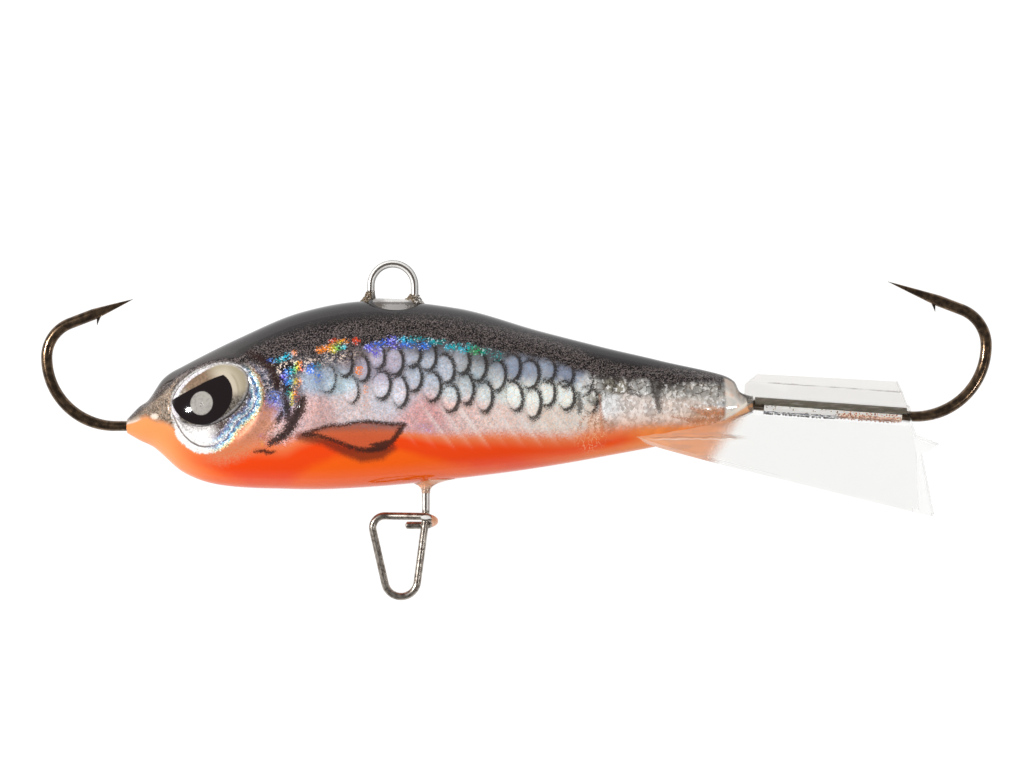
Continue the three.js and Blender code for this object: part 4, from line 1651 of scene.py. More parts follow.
    def drawn_marks(self, at: FoilPlace, under: Value) -> Value:
        """The side fin and the smudges round the gill cover.

        Args:
            at: The readings.
            under: The colour below them.

        Returns:
            The colour.
        """
        layer, stored = at.shader.layer, at.shader.attribute
        rough = (at.grain - 0.5) * 0.3
        inside = (stored("pectoral") + rough).soft(-0.05, 0.1)
        upper = (at.y + 0.2 - (at.x - 19) * 0.03 + rough * 0.5).soft(-0.4, 0.15)
        fill = layer(upper * (0.5 + at.flake * 0.5), self.pectoral_orange, self.pectoral_grey)
        fill = layer((at.grain - 0.55).soft(0.0, 0.1) * 0.35, fill, self.pectoral_fleck)
        colour = layer(inside * 0.88, under, fill)
        below = (stored("pectoral_shadow") + rough * 1.3).soft(-0.4, 0.2)
        colour = layer(below * 0.8, colour, self.pectoral_shade)
        line = (stored("drawn") + 0.01 + rough * 1.7).soft(-0.16, 0.1)
        colour = layer(line * 0.92, colour, self.drawn_brown)
        gill = stored("gill_marks") + (at.grain - 0.49) * 1.1 + (at.flake - 0.5) * 0.2
        return layer(gill.soft(-0.1, 0.12) * 0.92, colour, self.gill_black)

    def tail_cone(self, at: FoilPlace) -> Value:
        """Clear lacquer run down past the foil's end.

        Args:
            at: The readings.

        Returns:
            The colour.
        """
        layer, x, y = at.shader.layer, at.x, at.y
        streak = at.shader.noise(at.place, 1.3, 5)
        body = layer(streak.soft(0.3, 0.6), self.cone_grey, self.cone)
        body = layer(streak.soft(0.52, 0.6) * 0.5, body, self.cone_streak)
        body = layer((y - (50.9 - x) * 0.93).soft(-0.3, 0.2) * 0.6, body, self.cone_top)
        ridge = (1 - (at.z.magnitude() + (streak - 0.5) * 1.2).soft(0.55, 0.85)) * (y - 1.75).soft(0.0, 0.2)
        body = layer(ridge * 0.85, body, self.cone_ridge)
        across = y - (x - 47.5) * 0.62
        body = layer(across.soft(0.35, 0.5) * (1 - across.soft(0.6, 0.75)), body, self.cone_strip)
        return layer(1 - across.soft(0.2, 0.42), body, self.cone_orange)

    def lacquer_pad(self, at: FoilPlace, under: Value) -> Value:
        """The glassy pad between the line eye's legs, with a painted sheen along its top and painted shade in
        the crease round its lower rim.

        Args:
            at: The readings.
            under: The colour below it.

        Returns:
            The colour.
        """
        layer, y = at.shader.layer, at.y
        middle, half_length = 21.5, 1.95
        from_middle = in_oval(at.x, y, (middle, 9.86), (half_length, 0.8))
        away = (from_middle ** 0.5 - 1) * 1.1 + (at.grain - 0.5) * 0.04
        mottle = (at.grain - 0.5) * 0.6
        ends = (((at.x - middle) / half_length).magnitude() - 0.32 + mottle * 1.2).soft(0.0, 0.3)
        glass = layer(ends * 0.85, self.pad_grey, self.pad_brown)
        glass = layer((y - 9.6 + mottle * 0.6).soft(-0.08, 0.04) * 0.7, glass, self.pad_line)
        # Painted sheen along the pad's top.
        sheen = (y - 9.76 + mottle * 0.3).soft(-0.02, 0.08) * (1 - ends * 0.6)
        glass = layer(sheen, glass, self.pad_sheen)
        pad = layer(1 - away.soft(-0.12, -0.02), under, glass)
        # Painted shade in the crease round the pad's lower rim.
        rim = away.soft(-0.12, -0.04) * (1 - away.soft(0.03, 0.12)) * (1 - (y - 9.75).soft(-0.3, 0.2))
        return layer(rim * 0.95, pad, self.pad_crease_shade)


@dataclass
class DomedEye:
    """A printed eye under a clear dome, set into the flank."""

    side: int
    node: str
    rings: int = 30
    sides: int = 96

    def place(self, body: MinnowBody) -> Matrix:
        """The eye's long axis, upward axis, outward normal and centre.

        Args:
            body: The body that carries it.

        Returns:
            The matrix of its frame, in fish millimetres.
        """
        step = 1.5
        seat = EYE_SEAT
        slope_x = (body.flank(seat.x + step, seat.y) - body.flank(seat.x - step, seat.y)) / (2 * step)
        slope_y = (body.flank(seat.x, seat.y + step) - body.flank(seat.x, seat.y - step)) / (2 * step)
        normal = Vector((-slope_x, -slope_y, self.side)).normalized()
        turn = math.radians(seat.tilt)
        long = Vector((math.cos(turn), math.sin(turn), 0))
        long = (long - normal * long.dot(normal)).normalized()
        up = normal.cross(long) * self.side
        matrix = Matrix((long, up, normal)).transposed().to_4x4()
        matrix.translation = Vector((seat.x, seat.y, self.side * body.flank(seat.x, seat.y)))
        return matrix

    def build(self, body: MinnowBody, finish: bpy.types.Material) -> bpy.types.Mesh:
        """Makes the dome, its wall and its seat.

        Args:
            body: The body that carries it.
            finish: The printed eye.

        Returns:
            The mesh.
        """
        matrix = self.place(body)
        angles = np.linspace(0, 2 * np.pi, self.sides, endpoint=False)
        shares = np.linspace(1, 0, self.rings, endpoint=False)
        profile = [(0.985, -EYE_SEAT.seat), (1.0, -0.2)]
        profile += [(share, EYE_SEAT.crown * (1 - share ** 2.4) ** 0.5) for share in shares]
        along, up = EYE_SEAT.long * np.cos(angles), EYE_SEAT.short * np.sin(angles)
        rows = [
            np.column_stack([share * along, share * up, np.full(self.sides, height)])
            for share, height in profile
        ]
        local = np.vstack(rows + [np.array([[0, 0, EYE_SEAT.crown]])])
        faces = tube_faces(len(profile), self.sides, close_ends=False)
        faces.append(tuple(range(self.sides)))
        top = (len(profile) - 1) * self.sides
        peak = len(local) - 1
        faces += [(top + j, peak, top + (j + 1) % self.sides) for j in range(self.sides)]
        turned = np.array([matrix @ Vector(point) for point in local])
        if self.side > 0:
            faces = [tuple(reversed(face)) for face in faces]
        mesh = mesh_from(self.node + "_dome", turned, faces, finish)
        store(mesh, "print_along", local[:, 0])
        store(mesh, "print_up", local[:, 1])
        return mesh

    def dress(self, body: MinnowBody, finish: bpy.types.Material) -> bpy.types.Object:
        """Adds the eye to the scene."""
        return Piece(self.node + "_dome", self.build(body, finish), "printed_eye", (self.node,)).register()


@dataclass(frozen=True)
class PrintPlace:
    """What the eye's print reads at each place of the dome."""

    shader: Shader
    along: Value
    up: Value
    flake: Value
    grain: Value
    fine: Value

    @classmethod
    def read(cls, shader: Shader) -> "PrintPlace":
        """Sets up the readings.

        Args:
            shader: The print's tree.

        Returns:
            The readings.
        """
        place = shader.place()
        flake, _, _ = shader.cells(place, 9.0)
        return cls(
            shader, shader.attribute("print_along"), shader.attribute("print_up"), flake,
            shader.noise(place, 5.0, 3), shader.noise(place, 10.0, 2),
        )


@dataclass(frozen=True)
class PrintedEye:
    """The eye's print: a pupil cut off by the brow, with a pale spot in it, on a tan and silver iris."""

    left_centre: Pair = (-0.12, 0.72)
    left_radius: float = 2.98
    right_centre: Pair = (-0.46, -0.06)
    right_halves: Pair = (2.42, 2.06)
    brow: float = 1.04
    brow_droop: float = 0.05
    brow_front: float = -0.09
    spot_centre: Pair = (-0.8, -0.38)
    spot_radius: float = 0.94
    fleck_centre: Pair = (-0.82, -0.5)
    arc_gap: float = 0.42
    pupil: Colour = srgb(24, 15, 17)
    spot_pale: Colour = srgb(172, 168, 161)
    spot_grey: Colour = srgb(134, 129, 123)
    fleck_dark: Colour = srgb(96, 90, 84)
    fleck_pale: Colour = srgb(226, 222, 216)
    tan_low: Colour = srgb(180, 146, 122)
    tan_high: Colour = srgb(152, 108, 86)
    olive: Colour = srgb(122, 104, 84)
    beige_near: Colour = srgb(202, 190, 170)
    beige_far: Colour = srgb(170, 158, 134)
    arc: Colour = srgb(150, 138, 112)
    silver_dark: Colour = srgb(96, 88, 74)
    silver: Colour = srgb(246, 242, 232)
    speckle_dark: Colour = srgb(44, 38, 36)
    speckle: Colour = srgb(134, 126, 116)
    rim_lilac: Colour = srgb(196, 186, 196)
    rim_white: Colour = srgb(252, 250, 250)

    def material(self) -> bpy.types.Material:
        """Builds the finish.

        Returns:
            The material.
        """
        shader = Shader("printed_eye")
        at, layer = PrintPlace.read(shader), shader.layer
        away = self.pupil_edge(at)
        colour = self.rimmed(at, self.iris(at, away))
        colour = layer(1 - away.soft(-0.03, 0.04), colour, self.pupil)
        from_spot = in_oval(at.along, at.up, self.spot_centre, (1, 1)) ** 0.5 - self.spot_radius
        grey = layer(at.grain.soft(0.48, 0.66) * 0.5, self.spot_pale, self.spot_grey)
        colour = layer(1 - from_spot.soft(-0.06, 0.04), colour, grey)
        fleck = 1 - (in_oval(at.along, at.up, self.fleck_centre, (1, 1)) ** 0.5).soft(0.12, 0.26)
        colour = layer(fleck * 0.7, colour, layer(at.fine.soft(0.45, 0.55), self.fleck_dark, self.fleck_pale))
        return shader.finish(shader.surface(
            Base_Color=colour, Roughness=0.5, Coat_Weight=1.0, Coat_Roughness=0.03, Specular_IOR_Level=0.0,
        ))

    def pupil_edge(self, at: PrintPlace) -> Value:
        """How far a place lies outside the pupil: two round sides, cut off straight by the brow.

        Args:
            at: The readings.

        Returns:
            Millimetres, negative inside.
        """
        left = in_oval(at.along, at.up, self.left_centre, (1, 1)) ** 0.5 - self.left_radius
        behind = (at.along - self.right_centre[0]).most(0.0)
        oval = in_oval(behind, at.up, (0, self.right_centre[1]), self.right_halves)
        right = (oval ** 0.5 - 1) * (sum(self.right_halves) / 2)
        forward = (at.along - self.brow_front).most(0.0)
        brow = at.up - self.brow + forward * forward * self.brow_droop
        return left.most(right).most(brow)

    def iris(self, at: PrintPlace, away: Value) -> Value:
        """Tan over the brow, beige to the rear, silver at the front and dark speckle below.

        Args:
            at: The readings.
            away: Distance from the pupil.

        Returns:
            The colour.
        """
        layer, along, up, grain = at.shader.layer, at.along, at.up, at.grain
        tan = layer((up - 1.1).soft(0.0, 0.9), self.tan_low, self.tan_high)
        tan = layer((grain - 0.35).soft(0.0, 0.3) * 0.5, self.olive, tan)
        beige = layer((away - 0.1).soft(0.0, 0.9), self.beige_near, self.beige_far)
        from_arc = away - self.arc_gap
        arc = from_arc.soft(-0.1, 0.0) * (1 - from_arc.soft(0.02, 0.18)) * (1 - (up - 0.4).soft(0.0, 0.5))
        beige = layer(arc * 0.5, beige, self.arc)
        iris = layer((along + up * 0.3).soft(0.6, 2.0), tan, beige)
        silver = layer((at.flake * 0.8 + grain * 0.3).least(1.0), self.silver_dark, self.silver)
        iris = layer((1 - along.soft(-2.6, -1.2)) * (0.4 + grain), iris, silver)
        below = 1 - (up + along * 0.25).soft(-1.1, -0.1)
        return layer(below, iris, layer(at.flake, self.speckle_dark, self.speckle))

    def rimmed(self, at: PrintPlace, under: Value) -> Value:
        """The foil's bright rim, widest at the upper front.

        Args:
            at: The readings.
            under: The colour inside it.

        Returns:
            The colour.
        """
        layer, along, up = at.shader.layer, at.along, at.up
        oval = in_oval(along, up, (0, 0), (EYE_SEAT.long, EYE_SEAT.short))
        rim = (oval ** 0.5 - 1) * ((EYE_SEAT.long + EYE_SEAT.short) / 2)
        upper_front = (1 - (along + up * -0.2).soft(-0.6, 1.6)) * (up - along * 0.1).soft(-0.6, 0.2)
        wide = (rim + 0.12 + upper_front * 0.3 + (at.grain - 0.5) * 0.15).soft(-0.08, 0.08)
        lilac = layer(at.flake.soft(0.1, 0.9), self.rim_lilac, self.rim_white)
        return layer(wide * (0.35 + upper_front * 0.6), under, lilac)


class WireForm:
    """A wire bent as on a former: it runs straight, or turns about an axis at a radius."""

    def __init__(self, start: Triple, heading: Triple) -> None:
        """Starts the wire.

        Args:
            start: Its first point.
            heading: Where it points.
        """
        self.at = Vector(start)
        self.heading = Vector(heading).normalized()
        self.points = [self.at.copy()]

    def straight(self, length: float, steps: int = 1) -> "WireForm":
        """Runs straight on.

        Args:
            length: How far.
            steps: In how many steps.

        Returns:
            The wire.
        """
        for _ in range(steps):
            self.at = self.at + self.heading * (length / steps)
            self.points.append(self.at.copy())
        return self

    def bend(self, radius: float, angle: float, axis: Triple, steps: int, pitch: float = 0.0) -> "WireForm":
        """Turns about an axis.

        Args:
            radius: The bend's radius.
            angle: The turn in degrees.
            axis: The axis of the turn.
            steps: In how many steps.
            pitch: How far it climbs along the axis.

        Returns:
            The wire.
        """
        turn = math.radians(angle) / steps
        chord = 2 * radius * math.sin(abs(turn) / 2)
        half = Matrix.Rotation(turn / 2, 3, Vector(axis))
        for _ in range(steps):
            self.heading = half @ self.heading
            self.at = self.at + self.heading * chord + Vector(axis) * (pitch / steps)
            self.heading = half @ self.heading
            self.points.append(self.at.copy())
        return self


Given = bpy.types.NodeSocket | float | str


class GeometryTree:
    """A Geometry Nodes tree with named inputs, which runs on a mesh and gives back a plain mesh."""

    def __init__(self, name: str, **inputs: str) -> None:
        """Starts the tree.

        Args:
            name: Its name.
            inputs: The kind of each input, by name with underscores for spaces.
        """
        self.tree = bpy.data.node_groups.new(name, "GeometryNodeTree")
        interface = self.tree.interface
        interface.new_socket("Geometry", in_out="INPUT", socket_type="NodeSocketGeometry")
        self.inputs = {
            key: interface.new_socket(key.replace("_", " "), in_out="INPUT", socket_type="NodeSocket" + kind)
            for key, kind in inputs.items()
        }
        interface.new_socket("Geometry", in_out="OUTPUT", socket_type="NodeSocketGeometry")
        self.given = self.tree.nodes.new("NodeGroupInput").outputs

    def add(self, kind: str, settings: dict | None = None, **inputs: Given) -> bpy.types.Node:
        """Adds a node.

        Args:
            kind: Its type.
            settings: Its properties, set first.
            inputs: Values or links of its inputs, by name with underscores for spaces.

        Returns:
            The node.
        """
        node = self.tree.nodes.new(kind)
        for key, setting in (settings or {}).items():
            setattr(node, key, setting)
        for key, given in inputs.items():
            name = key.replace("_", " ")
            target = next(socket for socket in node.inputs if socket.name == name and socket.enabled)
            self.connect(given, target)
        return node

    def connect(self, given: Given, target: bpy.types.NodeSocket) -> None:
        """Links an output to an input, or sets the input's value.

        Args:
            given: A socket to link from, or a value to set.
            target: The input.
        """
        if isinstance(given, bpy.types.NodeSocket):
            self.tree.links.new(given, target)
        else:
            target.default_value = given

    def math(self, operation: str, *given: Given) -> bpy.types.NodeSocket:
        """Adds a Math node.

        Args:
            operation: What it does.
            given: Its two values or links.

        Returns:
            Its result.
        """
        node = self.add("ShaderNodeMath", {"operation": operation})
        for value, target in zip(given, node.inputs):
            self.connect(value, target)
        return node.outputs[0]

    def stored(self, name: str) -> bpy.types.NodeSocket:
        """A number stored on the mesh."""
        node = self.add("GeometryNodeInputNamedAttribute", {"data_type": "FLOAT"}, Name=name)
        return node.outputs["Attribute"]

    def end(self, geometry: bpy.types.NodeSocket) -> None:
        """Makes the geometry real, gives it its finish and ends the tree.

        Args:
            geometry: What the tree gives.
        """
        real = self.add("GeometryNodeRealizeInstances", Geometry=geometry)
        dressed = self.add("GeometryNodeSetMaterial", Geometry=real.outputs[0], Material=self.given["Finish"])
        self.connect(dressed.outputs[0], self.tree.nodes.new("NodeGroupOutput").inputs[0])

    def run(self, mesh: bpy.types.Mesh, name: str, **given: float | bpy.types.Material) -> bpy.types.Mesh:
        """Runs the tree on a mesh and uses the mesh up.

        Args:
            mesh: What the tree starts from.
            name: The new mesh's name.
            given: Values of the tree's inputs.

        Returns:
            The plain mesh.
        """
        carrier = carried(mesh)
        modifier = carrier.modifiers.new(self.tree.name, "NODES")
        modifier.node_group = self.tree
        for key, value in given.items():
            modifier[self.inputs[key].identifier] = value
        return plain_mesh(carrier, name)


class WireSweep(GeometryTree):
    """Rounds a bent centre line into a bar and forges it flatter where told."""

    half_name = "half"
    flat_name = "flat"
    sides = 24

    def __init__(self) -> None:
        """Lays out the tree: line to curve, bar, forging, finish."""
        super().__init__("wire_sweep", Sides="Int", Middle_height="Float", Finish="Material")
        given = self.given
        curve = self.add("GeometryNodeMeshToCurve", Mesh=given["Geometry"])
        half = self.stored(self.half_name)
        sized = self.add("GeometryNodeSetCurveRadius", Curve=curve.outputs[0], Radius=half)
        circle = self.add("GeometryNodeCurvePrimitiveCircle", Resolution=given["Sides"], Radius=1.0)
        bar = self.add(
            "GeometryNodeCurveToMesh", Curve=sized.outputs[0], Profile_Curve=circle.outputs["Curve"],
            Fill_Caps=True,
        )
        if "Scale" in bar.inputs:
            self.connect(self.stored(self.half_name), bar.inputs["Scale"])
        place = self.add("ShaderNodeSeparateXYZ", Vector=self.add("GeometryNodeInputPosition").outputs[0])
        above = self.math("SUBTRACT", place.outputs["Z"], given["Middle height"])
        rise = self.math("MULTIPLY", above, self.math("SUBTRACT", self.stored(self.flat_name), 1.0))
        offset = self.add("ShaderNodeCombineXYZ", Z=rise)
        forged = self.add("GeometryNodeSetPosition", Geometry=bar.outputs[0], Offset=offset.outputs[0])
        self.end(self.add("GeometryNodeSetShadeSmooth", Geometry=forged.outputs[0]).outputs[0])

    def sweep(
        self, name: str, points: list[Vector], halves: list[float], flats: list[float],
        finish: bpy.types.Material,
    ) -> bpy.types.Mesh:
        """Sweeps one wire.

        Args:
            name: The mesh's name.
            points: The centre line in fish millimetres.
            halves: Half the wire's width at each point, in millimetres.
            flats: How flat it is forged across the middle plane, 1 for round.
            finish: Its material.

        Returns:
            The mesh.
        """
        line = bpy.data.meshes.new(name + "_line")
        edges = [(i, i + 1) for i in range(len(points) - 1)]
        line.from_pydata(SPACE.metres(np.array(points)).tolist(), edges, [])
        store(line, self.half_name, np.array(halves) * MM)
        store(line, self.flat_name, np.array(flats))
        return self.run(line, name, Sides=self.sides, Middle_height=SPACE.origin.z, Finish=finish)


@dataclass
class BarbedHook:
    """A single hook: shank, forged bend, needle point and barb."""

    name: str
    node: str
    start: Pair
    heading: float
    turn: int
    embedded: float
    shank: float
    bend: float
    bend_angle: float
    throat: float
    throat_angle: float
    point: float
    needle: float
    barb: float
    shank_half: float = 0.4
    bend_half: float = 0.45
    across_half: float = 0.37
    tip_half: float = 0.022
    barb_front: float = 0.88
    barb_rear: float = 0.35
    barb_root: float = 0.15
    barb_lift: float = 0.95
    barb_half: float = 0.185
    barb_edge: float = 0.015
    barb_sunk: float = 0.05
    barb_steps: int = 10

    def form(self) -> WireForm:
        """Bends the hook's centre line.

        Returns:
            The bent wire.
        """
        turn = math.radians(self.heading)
        ahead = (math.cos(turn), math.sin(turn), 0)
        root = (self.start[0] - ahead[0] * self.embedded, self.start[1] - ahead[1] * self.embedded, 0)
        axis = (0, 0, self.turn)
        form = WireForm(root, ahead).straight(self.embedded + self.shank, 24)
        form.bend(self.bend, self.bend_angle, axis, 40).bend(self.throat, self.throat_angle, axis, 26)
        return form.straight(self.point - self.needle, 10).straight(self.needle, 40)

    def widths(self, points: list[Vector]) -> tuple[list[float], list[float]]:
        """Half the wire's width and its flatness at each point.

        Args:
            points: The centre line.

        Returns:
            Half widths and flatnesses.
        """
        steps = [0.0] + [(b - a).length for a, b in zip(points, points[1:])]
        to_end = sum(steps) - np.cumsum(steps)
        round_bend = math.radians(self.bend_angle) * self.bend
        round_throat = math.radians(self.throat_angle) * self.throat
        forged = soft_step(self.point + round_bend + round_throat - to_end, -1, 3)
        taper = np.clip(to_end / self.needle, 0, 1) ** 0.9
        across = self.shank_half + (self.across_half - self.shank_half) * forged
        along = self.shank_half + (self.bend_half - self.shank_half) * forged
        return np.maximum(along * taper, self.tip_half).tolist(), (across / along).tolist()

    def barb_blade(self, form: WireForm) -> Shape:
        """The sliver cut up from the point's inner side, thin at its free edge.

        Args:
            form: The hook's centre line.

        Returns:
            Points and faces.
        """
        ahead = form.heading
        inward = Vector((0, 0, 1)).cross(ahead) * self.turn
        outline = []
        for t in np.linspace(0, 1, self.barb_steps + 1):
            lift = self.barb_root + (self.barb_lift - self.barb_root) * t ** 1.25
            half = self.barb_half + (self.barb_edge - self.barb_half) * t
            outline.append((self.barb_front * (1 - t) - self.barb, lift, half))
        for t in np.linspace(0, 1, self.barb_steps + 1)[1:]:
            lift = self.barb_lift - (self.barb_lift - self.barb_sunk) * t
            half = self.barb_edge + (self.barb_half - self.barb_edge) * t
            outline.append((self.barb_rear * t - self.barb, lift, half))
        points = [
            form.at + ahead * along + inward * lift + Vector((0, 0, side * half))
            for side in (1, -1) for along, lift, half in outline
        ]
        count = len(outline)
        faces = [tuple(range(count)), tuple(range(2 * count - 1, count - 1, -1))]
        faces += [(j, j + count, (j + 1) % count + count, (j + 1) % count) for j in range(count)]
        return np.array(points), faces

    def build(self, sweep: WireSweep, finish: bpy.types.Material) -> bpy.types.Mesh:
        """Sweeps the hook and joins its barb.

        Args:
            sweep: The tree that makes wires.
            finish: The bronzed steel.

        Returns:
            The mesh.
        """
        form = self.form()
        halves, flats = self.widths(form.points)
        mesh = sweep.sweep(self.name, form.points, halves, flats, finish)
        points, faces = self.barb_blade(form)
        blade = mesh_from(self.name + "_barb", points, faces, finish)
        joined = bmesh.new()
        joined.from_mesh(blade)
        bmesh.ops.recalc_face_normals(joined, faces=joined.faces)
        joined.from_mesh(mesh)
        joined.to_mesh(mesh)
        joined.free()
        bpy.data.meshes.remove(blade)
        mesh.shade_smooth()
        mesh.set_sharp_from_angle(angle=math.radians(35))
        return mesh

    def dress(self, sweep: WireSweep, finish: bpy.types.Material) -> bpy.types.Object:
        """Adds the hook to the scene."""
        return Piece(self.name, self.build(sweep, finish), "bronzed_steel", (self.node,)).register()


HOOKS = (
    BarbedHook(
        "nose_hook_wire", "nose_hook", start=(0, -0.08), heading=180, turn=-1, embedded=4, shank=1,
        bend=5.5, bend_angle=90, throat=2.9, throat_angle=69, point=5.4, needle=3.4, barb=3.45,
    ),
    BarbedHook(
        "tail_hook_wire", "tail_hook", start=TAIL_SHANK.root, heading=TAIL_SHANK.slope, turn=1, embedded=4,
        shank=12.66, bend=5.7, bend_angle=94.1, throat=3.05, throat_angle=69.2, point=6.3, needle=4.3,
        barb=4.4,
    ),
)


@dataclass
class RoundWires:
    """The line eye in the back and the snap under the belly, of one stainless wire."""

    half: float = 0.3
    line_eye_x: float = 21.18
    line_eye_y: float = 11.14
    line_eye_radius: float = 1.75
    line_eye_root: float = 7.7
    stem: Pair = (23.83, -2.6)
    elbow: float = -7.1
    lean: float = 7.5
    leg: float = 5.0
    bottom_radius: float = 1.31
    far_lean: float = 12.8
    far_leg: float = 4.38
    corner: float = 0.95
    bar_lean: float = 13.0
    bar: float = 2.5
    curl: float = 0.66
    pitch: float = 0.8
    stub: float = 1.7
    rounded: float = 0.18
    taper: tuple[float, ...] = (0.97, 0.88, 0.7, 0.4)

    def line_eye_form(self) -> WireForm:
        """Bends the staple that the line is tied to.

        Returns:
            The bent wire.
        """
        rise = self.line_eye_y - self.line_eye_root
        start = (self.line_eye_x - self.line_eye_radius, self.line_eye_root, 0)
        form = WireForm(start, (0, 1, 0)).straight(rise, 12)
        return form.bend(self.line_eye_radius, -180, (0, 0, 1), 44).straight(rise, 12)

    def snap_form(self) -> WireForm:
        """Bends stem, leg, bottom, far leg, corner, bar, curl round the stem, and stub.

        Returns:
            The bent wire.
        """
        out, up = (0, 0, 1), (0, 1, 0)
        form = WireForm((*self.stem, 0), (0, -1, 0)).straight(self.stem[1] - self.elbow, 12)
        form.bend(4, -self.lean, out, 6).straight(self.leg, 6)
        form.bend(self.bottom_radius, self.lean + self.far_lean - 180, out, 30).straight(self.far_leg, 6)
        form.bend(self.corner, -90 - self.far_lean, out, 20).bend(2, -self.bar_lean, up, 6)
        form.straight(self.bar, 4).bend(2, self.bar_lean, up, 6)
        form.bend(self.curl, 180, up, 26, -self.pitch)
        return form.straight(self.stub - self.rounded, 6).straight(self.rounded, len(self.taper))

    def dress(self, sweep: WireSweep, finish: bpy.types.Material) -> list[bpy.types.Object]:
        """Adds both wires to the scene.

        Args:
            sweep: The tree that makes wires.
            finish: The stainless wire.

        Returns:
            The two objects.
        """
        made = []
        for name, node, form in (
            ("line_eye_wire", "line_eye", self.line_eye_form()),
            ("belly_snap_wire", "belly_snap", self.snap_form()),
        ):
            count = len(form.points)
            halves = [self.half] * (count - len(self.taper)) + [self.half * share for share in self.taper]
            mesh = sweep.sweep(name, form.points, halves, [1.0] * count, finish)
            made.append(Piece(name, mesh, "stainless_wire", (node,)).register())
        return made


@dataclass(frozen=True)
class BronzedSteel:
    """Hook steel with a brown-black bronzed skin."""

    dark: Colour = srgb(74, 60, 48)
    warm: Colour = srgb(128, 104, 80)

    def material(self) -> bpy.types.Material:
        """Builds the finish.

        Returns:
            The material.
        """
        shader = Shader("bronzed_steel")
        place = shader.place()
        mottle = shader.noise(place, 2.2, 4)
        drawn = shader.noise(place, 14.0, 2)
        colour = shader.layer(mottle.soft(0.35, 0.7), self.dark, self.warm)
        surface = shader.surface(
            Base_Color=colour,
            Metallic=1.0,
            Roughness=0.16 + drawn * 0.12,
            Normal=shader.bump(drawn, 0.004, 0.5),
            Coat_Weight=0.3,
            Coat_Roughness=0.05,
        )
        return shader.finish(surface)


@dataclass(frozen=True)
class StainlessWire:
    """Drawn stainless wire with a film of lacquer near the body, whose shine is painted there: pale
    reflection bands, dark at the edges and along the middle, and a painted highlight where the bar crosses
    the stem.
    """

    bright: Colour = srgb(172, 164, 154)
    dull: Colour = srgb(118, 108, 100)
    film: Colour = srgb(250, 176, 128)
    # Pale and dark of the painted reflection; the pale is also the painted highlight.
    highlight_white: Colour = srgb(246, 244, 240)
    line: Colour = srgb(96, 88, 82)
    half: float = 0.3
    # Where the painted highlight lies.
    highlight_centre: Pair = (23.85, -7.32)
    highlight_halves: Pair = (0.42, 0.17)

    def material(self) -> bpy.types.Material:
        """Builds the finish.

        Returns:
            The material.
        """
        shader = Shader("stainless_wire")
        place = shader.place()
        x, y, z = shader.split(place)
        mottle = shader.noise(place, 3.0, 3)
        fine = shader.noise(place, 16.0, 2)
        colour = shader.layer(mottle.soft(0.4, 0.65), self.bright, self.dull)
        curl = x.soft(24.25, 24.4) * y.soft(-8.6, -8.3)
        colour = shader.layer(curl * 0.85, colour, self.film)
        # Painted reflection on the lacquered stem: pale, dark at the edges and along the middle.
        level = z.magnitude() / self.half
        lacquered = y.soft(-6.9, -6.7)
        painted_reflection = shader.layer(level.soft(0.94, 0.965), self.highlight_white, self.line)
        painted_reflection = shader.layer((1 - level.soft(0.5, 0.75)) * (0.5 + mottle * 0.7), painted_reflection, self.line)
        colour = shader.layer(lacquered, colour, painted_reflection)
        # Painted highlight where the bar crosses the stem.
        painted_highlight = 1 - in_oval(x, y, self.highlight_centre, self.highlight_halves).soft(0.7, 1.1)
        colour = shader.layer(painted_highlight, colour, self.highlight_white)
        surface = shader.surface(
            Base_Color=colour,
            Metallic=1.0 - lacquered.most(painted_highlight).most(curl) * 0.85,
            Roughness=0.25 + fine * 0.14,
            Normal=shader.bump(fine, 0.004, 0.4),
        )
        return shader.finish(surface)


@dataclass
class ClearFin:
    """The moulded fin, its edges eased."""

    ease: float = 0.1
    merge: float = 0.002

    def build(self, finish: bpy.types.Material) -> bpy.types.Mesh:
        """Copies the fin's solid, merges it and eases its edges.

        Args:
            finish: The clear plastic.

        Returns:
            The mesh.
        """
        work = bmesh.new()
        work.from_mesh(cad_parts["tail_fin"].data)
        bmesh.ops.remove_doubles(work, verts=work.verts, dist=self.merge * MM)
        bmesh.ops.dissolve_limit(work, angle_limit=math.radians(1.0), verts=work.verts, edges=work.edges)
        mesh = bpy.data.meshes.new("clear_fin_work")
        work.to_mesh(mesh)
        work.free()
        mesh.materials.append(finish)
        carrier = carried(mesh)
        bevel = carrier.modifiers.new("ease", "BEVEL")
        bevel.width = self.ease * MM
        bevel.segments = 2
        bevel.limit_method = "ANGLE"
        bevel.angle_limit = math.radians(40)
        eased = plain_mesh(carrier, "clear_fin")
        eased.shade_smooth()
        eased.set_sharp_from_angle(angle=math.radians(28))
        rim = eased.attributes.new("moulded_edge", "FLOAT", "FACE")
        for face, row in zip(eased.polygons, rim.data):
            corners = [eased.vertices[index].co for index in face.vertices]
            girth = sum((a - b).length for a, b in zip(corners, corners[1:] + corners[:1]))
            row.value = float(face.area / girth < self.ease * MM * 0.6)
        return eased

    def dress(self, finish: bpy.types.Material) -> bpy.types.Object:
        """Adds the fin to the scene."""
        return Piece("clear_tail_fin", self.build(finish), "clear_plastic", ("tail_fin",)).register()


